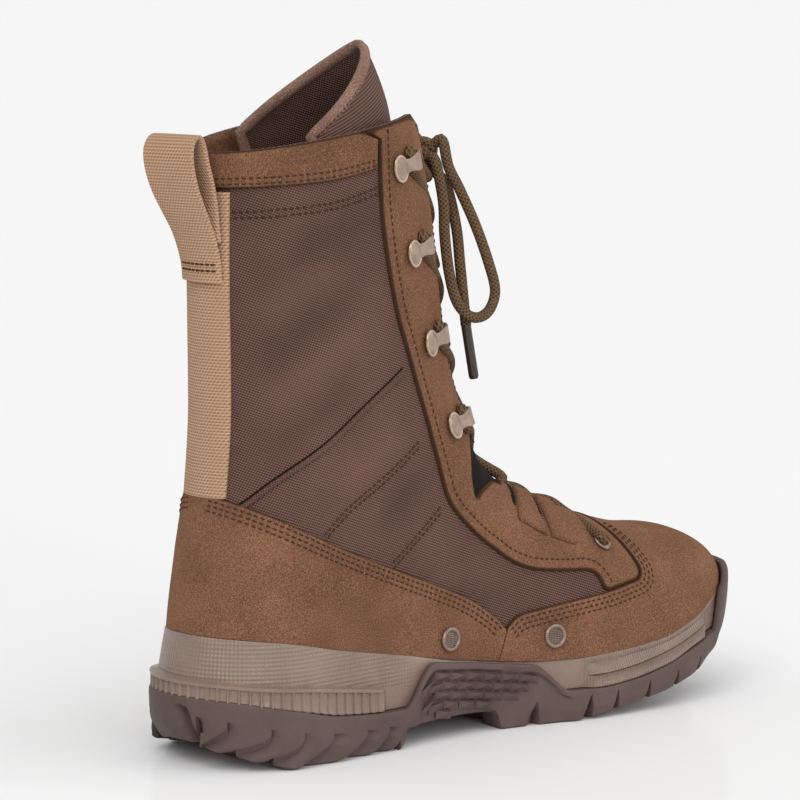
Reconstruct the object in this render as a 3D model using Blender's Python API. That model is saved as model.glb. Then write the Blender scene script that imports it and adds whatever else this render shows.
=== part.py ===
"""Tactical boot for the left foot, as an assembly of named solids.

The toe points along +X, the outer side of the foot is +Y and the floor is z = 0.
Sizes are written in millimetres and become metres where a mesh is made.
"""
import math

import bmesh
import bpy
import numpy as np
from mathutils import Matrix, Vector

MM = 0.001
MEDIAL, LATERAL = -1, 1
SIDE_NAMES = {MEDIAL: "medial", LATERAL: "lateral"}

# Driving sizes of the last and of the materials.
TOE_END = 141.5
TOE_ROUND = 50.0
TOE_DROP = 34.0
TOE_POWER = 2.2
DROP_POWER = 2.3
ARCH_POWER = 2.2
CROWN_POWER = 1.1
TOE_CAMBER = 6.0
CAMBER_FROM = 40.0
THROAT_END = 75.0
# Where the foot's sections take over from the shaft's, along the boot and up it.
BLEND_X = (-75.0, 0.0)
BLEND_Z = (95.0, 160.0)
WALL = 2.0
SEAT = 0.3
OVERLAY = 1.4
STRIP_THICK = 1.6
WEB_WIDTH = 25.0
WEB_THICK = 1.6
LACE = 4.6
RIM = 3.6
DECK_DROP = 0.4
EDGE_STEPS = 900
ROW_COLUMNS = 13
# Brings the middle of the boot's box over the origin.
ORIGIN_SHIFT = (2.55, -1.65, 0.0)


class Sections:
    """A table of sections, read anywhere along its first column by a monotone cubic."""

    def __init__(self, columns, rows):
        self.columns = columns
        self.at = np.array([row[0] for row in rows], float)
        self.values = np.array(rows, float)
        self.step = np.diff(self.at)

    def slopes(self, values):
        rise = np.diff(values) / self.step
        slope = np.concatenate([rise[:1], np.zeros(len(rise) - 1), rise[-1:]])
        for k in range(1, len(rise)):
            if rise[k - 1] * rise[k] > 0:
                early = 2 * self.step[k] + self.step[k - 1]
                late = self.step[k] + 2 * self.step[k - 1]
                slope[k] = (early + late) / (early / rise[k - 1] + late / rise[k])
        return slope

    def read(self, column, place):
        values = self.values[:, self.columns.index(column)]
        slope = self.slopes(values)
        place = np.clip(np.asarray(place, float), self.at[0], self.at[-1])
        k = np.clip(np.searchsorted(self.at, place) - 1, 0, len(self.step) - 1)
        step = self.step[k]
        t = (place - self.at[k]) / step
        start = values[k] * (1 + 2 * t) * (1 - t) ** 2 + step * slope[k] * t * (1 - t) ** 2
        end = values[k + 1] * t * t * (3 - 2 * t) - step * slope[k + 1] * t * t * (1 - t)
        return start + end


# Cross sections of the foot: half widths at the feather line, and the heights of that line and of the ridge.
FOOT = Sections(("x", "medial", "lateral", "feather", "ridge"), [
    (-142, 33.0, 33.5, 54.0, 290),
    (-120, 33.5, 34.0, 51.5, 290),
    (-90, 33.5, 35.0, 45.0, 290),
    (-55, 32.5, 38.0, 38.5, 290),
    (-35, 32.0, 41.0, 34.5, 290),
    (-27, 32.0, 42.0, 33.0, 255),
    (-20, 32.2, 43.0, 32.0, 223),
    (-16, 32.5, 43.3, 31.5, 200),
    (-11, 33.0, 44.0, 30.5, 170),
    (-3, 34.0, 45.2, 29.5, 140),
    (6, 35.5, 46.5, 28.5, 119),
    (18, 38.0, 48.0, 27.5, 106),
    (37, 42.0, 50.0, 27.0, 95),
    (57, 45.0, 51.0, 28.0, 87),
    (81, 46.0, 50.0, 30.5, 77),
    (100, 44.5, 47.0, 36.0, 72.5),
    (120, 42.0, 44.0, 44.0, 71),
    (143, 40.0, 42.0, 52.0, 70),
])
# Level sections of the heel and shaft, with how far the back and the front are rounded.
SHAFT = Sections(("z", "back", "half", "back_round", "front_round"), [
    (40, -142.5, 33.5, 36, 60),
    (54, -141.5, 33.5, 36, 60),
    (84, -137.5, 33.0, 38, 60),
    (107, -134.5, 32.0, 43, 60),
    (147, -132.0, 31.5, 50, 58),
    (197, -132.0, 33.5, 52, 54),
    (250, -131.0, 35.0, 52, 52),
    (290, -131.0, 35.5, 52, 52),
])
# Rows of the upper: height at the back, place of the front on the ridge, how much of the feather
# line's dip the row keeps, and half the width of the throat there.
ROWS = Sections(("row", "back", "front", "follow", "gap"), [
    (0, 54.0, TOE_END, 1.00, 0),
    (1, 59.0, 140.0, 1.00, 0),
    (2, 65.5, 134.5, 0.90, 0),
    (3, 72.5, 124.0, 0.72, 0),
    (4, 80.0, 106.0, 0.50, 0),
    (5, 87.5, THROAT_END, 0.32, 0),
    (6, 91.0, 70.5, 0.26, 6.5),
    (7, 97.0, 59.0, 0.18, 10.0),
    (8, 106.0, 44.0, 0.10, 11.0),
    (9, 116.0, 25.0, 0.05, 11.5),
    (10, 130.0, 9.0, 0.00, 12.0),
    (11, 149.0, -2.0, 0.00, 12.0),
    (12, 174.0, -9.5, 0.00, 12.5),
    (13, 203.0, -15.5, 0.00, 13.0),
    (14, 228.0, -20.5, 0.00, 13.5),
    (15, 247.5, -28.5, 0.00, 14.0),
])
LAST_ROW = 15
THROAT_ROW = 5
# How far the sole stands out past the upper, and the heights of its steps along its length.
SOLE = Sections(("x", "margin", "band", "parting", "floor", "lug"), [
    (-151, 9.0, 36.0, 30.0, 10.5, 10.0),
    (-138, 9.0, 35.5, 28.5, 5.5, 11.0),
    (-126, 9.0, 34.0, 26.0, 2.0, 12.0),
    (-116, 9.0, 33.0, 24.0, 0.0, 12.0),
    (-95, 8.5, 30.0, 19.5, 0.0, 12.0),
    (-60, 6.5, 25.0, 17.0, 0.0, 11.0),
    (-57, 6.4, 24.6, 17.0, 8.0, 3.0),
    (-25, 5.2, 22.0, 16.0, 9.0, 3.0),
    (-5, 5.0, 19.8, 15.0, 8.0, 3.0),
    (-2, 5.0, 19.6, 15.0, 0.0, 8.0),
    (30, 5.4, 18.3, 13.8, 0.0, 8.0),
    (45, 5.6, 18.2, 13.7, 1.8, 7.5),
    (60, 5.8, 19.5, 15.0, 4.3, 7.5),
    (80, 6.0, 23.5, 19.0, 7.6, 8.0),
    (100, 6.2, 30.0, 25.5, 12.8, 8.0),
    (113, 6.2, 35.5, 29.0, 16.0, 8.0),
    (149, 6.2, 44.0, 32.0, 23.5, 5.0),
])
# Top of the outsole's outer rim, as a share of the way from the parting line to the feather line:
# it climbs at the arch panel, and stands past the feather line at the toe bumper.
RIM_RISE = Sections(("x", "rise", "inside"), [
    (-151, 0.0, 0.0),
    (-72, 0.0, 0.0),
    (-66, 0.0, 1.0),
    (-58, 0.0, 1.0),
    (-40, 0.92, 1.0),
    (-15, 0.96, 1.0),
    (12, 0.92, 1.0),
    (31, 0.0, 1.0),
    (38, 0.0, 1.0),
    (44, 0.0, 0.0),
    (104, 0.0, 0.0),
    (110, 0.0, 1.0),
    (117, 0.0, 1.0),
    (126, 1.06, 1.0),
    (149, 1.25, 1.0),
])
HEEL_LUGS = {"start_x": -151.0, "end_x": -60.0, "first": 17.0, "groove": 4.5, "count": 6}
TOE_LUGS = {"start_x": -6.0, "end_x": 148.0, "first": 0.0, "groove": 4.0, "count": 10}
# Outsole edge: the rim's lean and top, how far in the lugs and grooves lie, and how high the tread rises inwards.
LUG = {
    "rim_lean": 0.8, "rim_edge": 0.2, "rim_fall": 0.3, "root_groove": 0.4, "bevel": 2.0, "groove": 5.5, "slope": 1.2,
    "groove_share": 0.55, "reach": 15.0, "groove_rise": 4.0, "middle": 17.0, "middle_rise": 4.5, "middle_limit": 11.5,
}
ARCH_X = (-59, -8)
ARCH_STATIONS = 8
# Midsole: a cup over a ribbed band, with a ledge between them and a lip under the upper.
CUP = {
    "edge": 0.1, "toe_gap": 0.9, "band_below": 3.0, "rib_foot": 0.6, "rib_head": 0.8, "rib_start": 1.6, "rib_stop": 1.0,
    "ledge": 1.4, "ledge_rise": 0.4, "waist": 0.62, "lip": 2.4, "lip_fall": 0.8, "top": 1.8,
}
CUP_TOE_X = (85, 100)
RIB_PITCH = 7.4
RIB_DEPTH = 0.8
RIBS_END = -62
MIDSOLE_STATIONS = (-57, -50, -40, -25, -8, 8, 20, 30, 36, 42, 55, 70, 85, 98)
TOE_STATIONS = 14
# Insole: rings of its edge, as a distance in from the wall and a rise over the deck.
INSOLE_EDGE = [(2.2, SEAT), (1.8, 3.0), (2.6, 3.8)]
INSOLE_TOE_X = (110, 140)
INSOLE_STATIONS = 26

# Edges of the overlays in the side view, as x and z.
COUNTER_EDGE = [(-160, 114), (-139, 107.5), (-126, 102), (-95, 89), (-57, 74), (-21, 59.5), (-4, 49), (1.2, 43.6)]
VAMP_EDGE = [
    (1.9, 43.6), (8, 47.8), (18, 49.4), (32, 51), (54, 53), (66, 54.6), (74.5, 56), (77.5, 60), (76.5, 68), (74, 80),
]
EYESTAY_EDGE = [
    (-69, 275), (-69, 241), (-66.5, 215), (-59, 184), (-49, 160), (-40, 137), (-34, 118), (-28, 99.5), (-14.4, 85.4),
    (-1.5, 76), (9, 69.2), (20, 65.3), (35, 63.3), (47.5, 62.2), (51.8, 59.4), (53.8, 53.6),
]
NOTCH = [
    (24, 107), (15.6, 100.8), (9, 102.8), (2.4, 103), (-5.9, 101.5), (-10.7, 99.2), (-12, 107), (-10.6, 114),
    (-8.2, 121), (-3, 131), (5, 142),
]
CUFF_EDGE = [(-160, 231.5), (-131, 233), (-107, 234.5), (-90, 236), (-70, 239.5)]
STRIPS = {
    "lower": [(44, 106), (37.5, 91), (34.8, 85.6), (32.8, 77), (46.3, 71.8), (45.8, 77), (47, 83), (52, 102)],
    "upper": [(36, 114), (26, 98), (20, 92.4), (16, 86.2), (30.6, 77.4), (31, 86), (34, 92), (41, 106)],
}
STRIP_LIFT = 2.0
TAPE_TOP = 229.5

# Places of the small pieces on the side of the upper, as x and z, and how far they stand off it.
HOOKS = [(-22.7, 130, 2.5), (-36.7, 166, 2.4), (-48.7, 204, 2.0), (-57.7, 239, 2.0)]
EYELET = (62, 71.6, 2.0)
VENTS = [(-29.5, 42, 2.5), (25, 37.5, 2.3)]

COLOURS = {
    "suede": ((0.185, 0.090, 0.043), 0.95, 0.0),
    "nylon": ((0.110, 0.070, 0.056), 0.80, 0.0),
    "webbing": ((0.270, 0.160, 0.095), 0.85, 0.0),
    "rubber": ((0.100, 0.066, 0.060), 0.70, 0.0),
    "midsole": ((0.190, 0.140, 0.100), 0.50, 0.0),
    "metal": ((0.290, 0.200, 0.145), 0.40, 0.8),
    "lace": ((0.150, 0.105, 0.060), 0.85, 0.0),
    "lining": ((0.050, 0.036, 0.032), 0.90, 0.0),
}


def ease(t):
    t = np.clip(t, 0, 1)
    return t * t * (3 - 2 * t)


def ease_between(value, limits):
    return ease((value - limits[0]) / (limits[1] - limits[0]))


def signed_power(value, power):
    return np.sign(value) * np.abs(value) ** power


def rounded(t, power=2.0):
    """Square of a superellipse quarter that is 0 at t = 0 and 1 from t = 1 on, and negative before 0."""
    rest = 1 - np.minimum(t, 1)
    return signed_power(1 - rest ** power, 2 / power)


def feather(x):
    return FOOT.read("feather", np.minimum(x, TOE_END))


def ridge(x):
    low = feather(x)
    return low + (FOOT.read("ridge", x) - low) * np.sqrt(np.maximum(rounded((TOE_END - x) / TOE_DROP, DROP_POWER), 0))


RIDGE_X = np.linspace(-35, THROAT_END + 8, 500)
RIDGE_Z = ridge(RIDGE_X)


def front_x(z):
    """Place of the ridge at a height above the vamp."""
    return np.interp(z, RIDGE_Z[::-1], RIDGE_X[::-1], left=TOE_END)


def camber(x):
    """The centre line leans to the inner side towards the toe."""
    return -TOE_CAMBER * np.clip((x - CAMBER_FROM) / (TOE_END - CAMBER_FROM), 0, 1.1) ** 2


def squared_half_width(x, z, side):
    """The last: foot sections in front, level sections at the heel and shaft, blended in between."""
    half = np.where(side < 0, FOOT.read("medial", x), FOOT.read("lateral", x))
    low, high = feather(x), ridge(x)
    rise = np.maximum((z - low) / np.maximum(high - low, 0.001), 0)
    foot = half ** 2 * rounded((TOE_END - x) / TOE_ROUND, TOE_POWER) * signed_power(1 - rise ** ARCH_POWER, CROWN_POWER)
    back = rounded((x - SHAFT.read("back", z)) / SHAFT.read("back_round", z))
    front = rounded((front_x(z) - x) / SHAFT.read("front_round", z))
    shaft = SHAFT.read("half", z) ** 2 * back * front
    share = ease_between(x, BLEND_X) * (1 - ease_between(z, BLEND_Z))
    return share * foot + (1 - share) * shaft


def skin(x, z, side, offset=0.0):
    """Points of the upper's outer face, moved out along its normal."""
    x, z = np.broadcast_arrays(np.asarray(x, float), np.asarray(z, float))
    step = 0.4
    reach = side * np.sqrt(np.maximum(squared_half_width(x, z, side), 0))
    slope_x = (squared_half_width(x + step, z, side) - squared_half_width(x - step, z, side)) / (2 * step)
    slope_z = (squared_half_width(x, z + step, side) - squared_half_width(x, z - step, side)) / (2 * step)
    lean = (camber(x + step) - camber(x - step)) / (2 * step)
    normal = np.stack([-slope_x - 2 * reach * lean, 2 * reach, -slope_z], -1)
    normal /= np.linalg.norm(normal, axis=-1, keepdims=True)
    return np.stack([x, camber(x) + reach, z], -1) + offset * normal, normal


def row_line(row, angle):
    """Side-view line of one row, from the back at angle 0 to the ridge at angle pi."""
    back_z, front = ROWS.read("back", row), ROWS.read("front", row)
    back = SHAFT.read("back", back_z)
    along = (1 - np.cos(angle)) / 2
    x = back + (front - back) * along
    dip = feather(x) - feather(back) - (feather(front) - feather(back)) * along
    return x, back_z + (ridge(front) - back_z) * along + ROWS.read("follow", row) * dip


def throat_angle(row, side, gap):
    """Angle on a row where the half width comes down to the throat's edge."""
    if gap <= 0:
        return math.pi
    low, high = 0.55 * math.pi, math.pi
    for _ in range(40):
        middle = (low + high) / 2
        x, z = row_line(row, middle)
        if squared_half_width(x, z, side) > gap ** 2:
            low = middle
        else:
            high = middle
    return low


def row_points(row, offset, columns=ROW_COLUMNS):
    """One row of the upper from its inner throat edge round the back to its outer throat edge."""
    gap = float(ROWS.read("gap", row))
    points = []
    for side in (MEDIAL, LATERAL):
        angle = np.linspace(0, throat_angle(row, side, gap), columns + 1)
        x, z = row_line(row, angle)
        points.append(skin(x, z, side, offset)[0])
    return np.concatenate([points[0][::-1], points[1][1:]])


def mesh_object(name, points, faces, material):
    """An object from points in millimetres, with doubles merged and faces turned out."""
    form = bmesh.new()
    verts = [form.verts.new(Vector(p) * MM) for p in points]
    for face in faces:
        form.faces.new([verts[k] for k in face])
    bmesh.ops.remove_doubles(form, verts=form.verts, dist=1e-6)
    bmesh.ops.dissolve_degenerate(form, edges=form.edges, dist=1e-6)
    bmesh.ops.recalc_face_normals(form, faces=form.faces)
    mesh = bpy.data.meshes.new(name)
    form.to_mesh(mesh)
    form.free()
    obj = bpy.data.objects.new(name, mesh)
    bpy.context.scene.collection.objects.link(obj)
    obj.parent = ROOT
    dress(obj, material)
    return obj


def dress(obj, material):
    """Gives an object its own Principled material."""
    colour, roughness, metallic = COLOURS[material]
    made = bpy.data.materials.new(f"{obj.name}_{material}")
    made.use_nodes = True
    shader = made.node_tree.nodes["Principled BSDF"]
    shader.inputs["Base Color"].default_value = (*colour, 1.0)
    shader.inputs["Roughness"].default_value = roughness
    shader.inputs["Metallic"].default_value = metallic
    obj.data.materials.clear()
    obj.data.materials.append(made)


def wall_solid(name, outer, inner, material, closed_rows=0):
    """A wall between two grids of points. The first rows may close on themselves, so they get no end faces."""
    rows, columns = outer.shape[:2]
    points = np.concatenate([outer.reshape(-1, 3), inner.reshape(-1, 3)])
    shift = rows * columns

    def at(i, j, layer=0):
        return layer * shift + i * columns + j

    faces = []
    for i in range(rows - 1):
        for j in range(columns - 1):
            for layer in (0, 1):
                a, b = at(i, j, layer), at(i, j + 1, layer)
                c, d = at(i + 1, j + 1, layer), at(i + 1, j, layer)
                faces += [[a, b, c], [a, c, d]]
        if i + 1 >= closed_rows:
            for j in (0, columns - 1):
                faces.append([at(i, j), at(i + 1, j), at(i + 1, j, 1), at(i, j, 1)])
    for i in (0, rows - 1):
        for j in range(columns - 1):
            faces.append([at(i, j), at(i, j + 1), at(i, j + 1, 1), at(i, j, 1)])
    return mesh_object(name, points, faces, material)


def shell(name, low, high, material):
    """A layer over the whole upper, between two distances from its outer face."""
    rows = range(LAST_ROW + 1)
    outer = np.stack([row_points(row, high) for row in rows])
    inner = np.stack([row_points(row, low) for row in rows])
    return wall_solid(name, outer, inner, material, THROAT_ROW + 1)


def smooth_line(points, steps=2):
    """A curve through a few hand-set points."""
    points = np.asarray(points, float)
    ends = np.concatenate([points[:1] * 2 - points[1:2], points, points[-1:] * 2 - points[-2:-1]])
    line = []
    for a, b, c, d in zip(ends, ends[1:], ends[2:], ends[3:]):
        for t in np.arange(steps) / steps:
            line.append(0.5 * (2 * b + (c - a) * t + (2 * a - 5 * b + 4 * c - d) * t ** 2
                               + (3 * b - a - 3 * c + d) * t ** 3))
    return np.array(line + [points[-1]])


def prism(name, outline, y_low, y_high):
    """A cutter: a side-view outline drawn out across the boot."""
    count = len(outline)
    near = [(x, y_low, z) for x, z in outline]
    far = [(x, y_high, z) for x, z in outline]
    faces = [list(range(count)), list(range(2 * count - 1, count - 1, -1))]
    faces += [[k, (k + 1) % count, count + (k + 1) % count, count + k] for k in range(count)]
    cutter = mesh_object(name, near + far, faces, "lining")
    cutter.hide_render = True
    cutter.display_type = "WIRE"
    return cutter


def boolean(obj, cutter, operation):
    step = obj.modifiers.new(operation.lower(), "BOOLEAN")
    step.operation = operation
    step.object = cutter
    return obj


def overlay(name, outline, low, high, material, y_range=(-90, 90)):
    """A piece of a layer over the upper, kept inside a side-view outline."""
    piece = shell(name, low, high, material)
    return boolean(piece, prism(f"{name}_cutter", outline, *y_range), "INTERSECT")


def sole_outline(angle, side, margin):
    """Plan points of the feather line, moved out by a margin."""
    def plan(a):
        x, z = row_line(0, a)
        return np.stack([x, camber(x) + side * np.sqrt(np.maximum(squared_half_width(x, z, side), 0))], -1)

    step = 1e-3
    run = plan(np.minimum(angle + step, math.pi)) - plan(np.maximum(angle - step, 0))
    out = np.stack([-run[:, 1], run[:, 0]], -1) * side
    out[angle <= step] = (-1, 0)
    out[angle >= math.pi - step] = (1, 0)
    out /= np.linalg.norm(out, axis=1, keepdims=True)
    flat = plan(angle)
    return flat + out * np.reshape(margin, (-1, 1))


def sole_edge(side):
    """Angles round the sole's edge, with the place along the boot and the length from the middle of the heel."""
    angle = np.linspace(0, math.pi, EDGE_STEPS)
    edge = sole_outline(angle, side, SOLE.read("margin", row_line(0, angle)[0]))
    length = np.concatenate([[0], np.cumsum(np.linalg.norm(np.diff(edge, axis=0), axis=1))])
    return angle, edge[:, 0], length


def lug_marks(lugs, edge_x, length):
    """Lengths and levels of a run of lugs: level 1 on a lug, 0 in a groove."""
    start = np.interp(lugs["start_x"], edge_x, length)
    end = np.interp(lugs["end_x"], edge_x, length)
    marks = []
    if lugs["first"]:
        marks += [(start, 1), (start + lugs["first"], 1), (start + lugs["first"] + LUG["slope"], 0)]
        start += lugs["first"] + lugs["groove"]
        marks += [(start - LUG["slope"], 0)]
    pitch = (end - start) / lugs["count"]
    for k in range(lugs["count"]):
        low, high = start + k * pitch, start + (k + 1) * pitch - lugs["groove"]
        marks += [(low, 1), (high, 1), (high + LUG["slope"], 0), (high + lugs["groove"] - LUG["slope"], 0)]
    return marks


def sole_stations(side):
    """Stations round the outsole: the edges of its lugs, and plain ones at the arch."""
    angle, edge_x, length = sole_edge(side)
    marks = lug_marks(HEEL_LUGS, edge_x, length)
    marks += [(mark, 0) for mark in np.linspace(*np.interp(ARCH_X, edge_x, length), ARCH_STATIONS)]
    marks += lug_marks(TOE_LUGS, edge_x, length) + [(length[-1], 0)]
    marks.sort()
    angle = np.interp([mark for mark, _ in marks], length, angle)
    return angle, np.array([level for _, level in marks], float)


def ring_solid(name, rings, material):
    """A solid from rings, each a pair of inner-side and outer-side runs from heel to toe. Both ends are ladders."""
    runs = len(rings[0][0])
    points = np.concatenate([np.concatenate(ring) for ring in rings])

    def at(ring, side, j):
        return ring * 2 * runs + side * runs + j

    faces = []
    for ring in range(len(rings) - 1):
        for side in (0, 1):
            for j in range(runs - 1):
                faces.append([at(ring, side, j), at(ring, side, j + 1),
                              at(ring + 1, side, j + 1), at(ring + 1, side, j)])
    for ring in (0, len(rings) - 1):
        for j in range(runs - 1):
            faces.append([at(ring, 0, j), at(ring, 0, j + 1), at(ring, 1, j + 1), at(ring, 1, j)])
    return mesh_object(name, points, faces, material)


def sole_ring(stations, on_lug, in_groove, height, groove_depth=0.0):
    """One ring of a sole piece: how far it lies in from the sole's edge, on a lug and in a groove, and its height."""
    ring = []
    for side in (MEDIAL, LATERAL):
        angle, level = stations[side]
        x = row_line(0, angle)[0]
        outer = on_lug(x) if callable(on_lug) else on_lug
        inner = in_groove(x) if callable(in_groove) else in_groove
        inset = level * outer + (1 - level) * (inner + groove_depth)
        flat = sole_outline(angle, side, SOLE.read("margin", x) - inset)
        ring.append(np.column_stack([flat, height(flat[:, 0], level)]))
    for end in (0, -1):
        middle = (ring[0][end] + ring[1][end]) / 2
        ring[0][end] = middle
        ring[1][end] = middle
    return ring


def deck(x, level):
    """Height of the midsole's top, on which the upper stands."""
    return feather(x) - DECK_DROP


def rim_top(x):
    parting = SOLE.read("parting", x)
    return parting + (feather(x) - parting) * RIM_RISE.read("rise", x)


def make_outsole():
    """Outsole: lugs round heel and forefoot, the arch panel's wall and the toe bumper."""
    stations = {side: sole_stations(side) for side in (MEDIAL, LATERAL)}

    def parting(x, level):
        return SOLE.read("parting", x)

    def rim_inner(x, level):
        return rim_top(x)

    def rim_outer(x, level):
        return rim_top(x) - LUG["rim_fall"]

    def root(x, level):
        return SOLE.read("floor", x) + SOLE.read("lug", x)

    def tread(x, level):
        return SOLE.read("floor", x) + (1 - level) * LUG["groove_share"] * SOLE.read("lug", x)

    def tread_end(x, level):
        return SOLE.read("floor", x) + (1 - level) * LUG["groove_rise"]

    def middle(x, level):
        return np.minimum(SOLE.read("floor", x) + LUG["middle_rise"], LUG["middle_limit"])

    rings = [
        sole_ring(stations, RIM, RIM, parting),
        sole_ring(stations, RIM - LUG["rim_lean"], RIM - LUG["rim_lean"], rim_inner),
        sole_ring(stations, LUG["rim_edge"], LUG["rim_edge"], rim_outer),
        sole_ring(stations, 0.0, LUG["root_groove"], root),
        sole_ring(stations, LUG["bevel"], LUG["groove"], tread),
        sole_ring(stations, LUG["reach"], LUG["reach"], tread_end),
        sole_ring(stations, LUG["middle"], LUG["middle"], middle),
    ]
    return ring_solid("outsole", rings, "rubber")


def midsole_stations(side):
    """Stations round the midsole: one on and one between the ribs of the heel, and plain ones in front."""
    angle, edge_x, length = sole_edge(side)
    heel_end = np.interp(RIBS_END, edge_x, length)
    ribs = int(heel_end / RIB_PITCH) * 2
    marks = [(k * heel_end / ribs, k % 2) for k in range(ribs + 1)]
    marks += [(np.interp(x, edge_x, length), 0) for x in MIDSOLE_STATIONS]
    angle = np.interp([mark for mark, _ in marks], length, angle)
    toe = sole_stations(side)[0][-TOE_STATIONS:]
    level = np.array([level for _, level in marks] + [0] * len(toe), float)
    return np.concatenate([angle, toe]), level


def make_midsole():
    """Midsole: heel cup with a ribbed band, inside the arch panel and the bumper, and a strip at the forefoot."""
    stations = {side: midsole_stations(side) for side in (MEDIAL, LATERAL)}

    def kept_in(inset):
        return lambda x: np.maximum(inset, SEAT + CUP["edge"] + RIM * RIM_RISE.read("inside", x))

    def cup(share, less):
        return lambda x: np.maximum(SOLE.read("margin", x) * share - less, kept_in(0)(x))

    def parting(x, level):
        return SOLE.read("parting", x) + SEAT + CUP["toe_gap"] * ease_between(x, CUP_TOE_X)

    def band(x, level):
        return np.minimum(SOLE.read("band", x), deck(x, level) - CUP["band_below"])

    def over(height, rise):
        return lambda x, level: height(x, level) + rise

    def halfway(x, level):
        return (band(x, level) + deck(x, level)) / 2

    rings = [
        sole_ring(stations, kept_in(0), kept_in(0), parting),
        sole_ring(stations, kept_in(CUP["rib_foot"]), kept_in(CUP["rib_foot"]), over(parting, CUP["rib_start"]), RIB_DEPTH),
        sole_ring(stations, kept_in(CUP["rib_head"]), kept_in(CUP["rib_head"]), over(band, -CUP["rib_stop"]), RIB_DEPTH),
        sole_ring(stations, kept_in(CUP["ledge"]), kept_in(CUP["ledge"]), over(band, CUP["ledge_rise"])),
        sole_ring(stations, cup(CUP["waist"], 0), cup(CUP["waist"], 0), halfway),
        sole_ring(stations, cup(1, CUP["lip"]), cup(1, CUP["lip"]), over(deck, -CUP["lip_fall"])),
        sole_ring(stations, cup(1, CUP["top"]), cup(1, CUP["top"]), deck),
    ]
    return ring_solid("midsole", rings, "midsole")


def make_insole():
    """Insole: a thin board on the deck, inside the upper's wall."""
    angle = np.linspace(0, math.pi, INSOLE_STATIONS)
    stations = {side: (angle, np.zeros_like(angle)) for side in (MEDIAL, LATERAL)}
    rings = []
    for inset, rise in INSOLE_EDGE:
        def inner(x, inset=inset):
            return SOLE.read("margin", x) + WALL + inset + ease_between(x, INSOLE_TOE_X)

        def height(x, level, rise=rise):
            return deck(x, level) + rise

        rings.append(sole_ring(stations, inner, inner, height))
    return ring_solid("insole", rings, "lining")


# Tongue: rows under the throat, how far it reaches back from the ridge and how deep it lies under the upper's face.
TONGUE = Sections(("row", "reach", "deep"), [
    (4.6, 16, 3.6), (6, 19, 3.6), (8, 21, 3.6), (9, 23, 3.6), (10, 28, 3.6), (11, 33, 3.6), (12, 42, 3.8),
    (13, 53, 5.5), (14, 63, 7.5), (15, 70, 9.5),
])
TONGUE_THICK = 2.4
TONGUE_TIP = {"height": 27.6, "lean": 10.0, "curl": 0.4}
TONGUE_ROWS = (4.6, 6, 7, 8, 9, 10, 11, 12, 13, 14, 15)
TONGUE_TIP_STEPS = (0.3, 0.6, 0.85, 0.96)


def tongue_row(row, layer, narrow=1.0, columns=4):
    """One row of the tongue from its inner edge over the ridge to its outer edge."""
    back_z, front = ROWS.read("back", row), ROWS.read("front", row)
    back = SHAFT.read("back", back_z)
    reach = float(TONGUE.read("reach", row)) * narrow / (front - back)
    spread = math.pi - math.acos(2 * reach - 1)
    points = []
    for side in (MEDIAL, LATERAL):
        angle = math.pi - np.linspace(1, 0, columns + 1) * spread
        x, z = row_line(row, angle)
        points.append(skin(x, z, side, -TONGUE.read("deep", row) - layer)[0])
    return np.concatenate([points[0], points[1][-2::-1]])


def make_tongue():
    """Tongue: a sheet under the throat that rises to a leaning point over the collar."""
    layers = []
    for layer in (0.0, TONGUE_THICK):
        rows = [tongue_row(row, layer) for row in TONGUE_ROWS]
        for step in TONGUE_TIP_STEPS:
            tip = tongue_row(LAST_ROW, layer, 1 - step) * (1, 1 - TONGUE_TIP["curl"] * step, 1)
            tip += np.array([-TONGUE_TIP["lean"] * step ** 1.5, 0, TONGUE_TIP["height"] * step])
            rows.append(tip)
        layers.append(np.stack(rows))
    return wall_solid("tongue", layers[0], layers[1], "nylon")


def hem_line(start, end, steps=9):
    """Lower edge of an overlay, just over the deck."""
    return [(x, float(feather(x)) + SEAT) for x in np.linspace(start, end, steps)]


def make_overlays():
    """Suede pieces over the upper, the woven tape up its back, and the strips that carry the lower lace."""
    low, high = SEAT, SEAT + OVERLAY
    counter = smooth_line(COUNTER_EDGE)
    overlay("heel_counter", [*counter, *hem_line(-5, -160)], low, high, "suede")
    vamp = smooth_line(VAMP_EDGE)
    overlay("vamp", [*vamp, (73, 130), (160, 130), *hem_line(160, -4.4)], low, high, "suede")
    gap = 0.45
    rear = smooth_line(EYESTAY_EDGE, 1)
    meets = [(x - gap * 0.4, z + gap) for x, z in vamp if x > 54 and z < 56]
    meets += [(x - gap, z) for x, z in vamp if z >= 56]
    front = [(73 - gap, 130), (30, 130), *NOTCH, (40, 150), (40, 275)]
    for side, reach in ((MEDIAL, (-90, -1)), (LATERAL, (1, 90))):
        overlay(f"eyestay_{SIDE_NAMES[side]}", [*rear, *meets, *front], low, high, "suede", reach)
    cuff = [*smooth_line(CUFF_EDGE), (-69.6, 251), (-69.6, 275), (-160, 275)]
    overlay("collar_cuff", cuff, low, high, "suede")
    half = WEB_WIDTH / 2
    tape = [(x, z + 0.7) for x, z in counter if x < -100] + [(-100, TAPE_TOP), (-160, TAPE_TOP)]
    overlay("backstay_tape", tape, low, SEAT + WEB_THICK, "webbing", (-half, half))
    for name, outline in STRIPS.items():
        for side, reach in ((MEDIAL, (-90, -1)), (LATERAL, (1, 90))):
            strip = f"lace_strip_{name}_{SIDE_NAMES[side]}"
            overlay(strip, outline, STRIP_LIFT, STRIP_LIFT + STRIP_THICK, "suede", reach)


# Pull loop in the side view: the outer strand, the fold at its top and the inner strand, as x and z.
LOOP = [(-135.4, 196), (-136.2, 204), (-138.8, 215), (-142.5, 224), (-146, 232.5), (-148.3, 241), (-148.9, 248.5),
        (-147, 253.2), (-143.6, 254), (-141, 250.5), (-138.8, 243), (-136.4, 235.5), (-135.3, 227), (-135.3, 212)]
LOOP_THICK = 2.0
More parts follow.
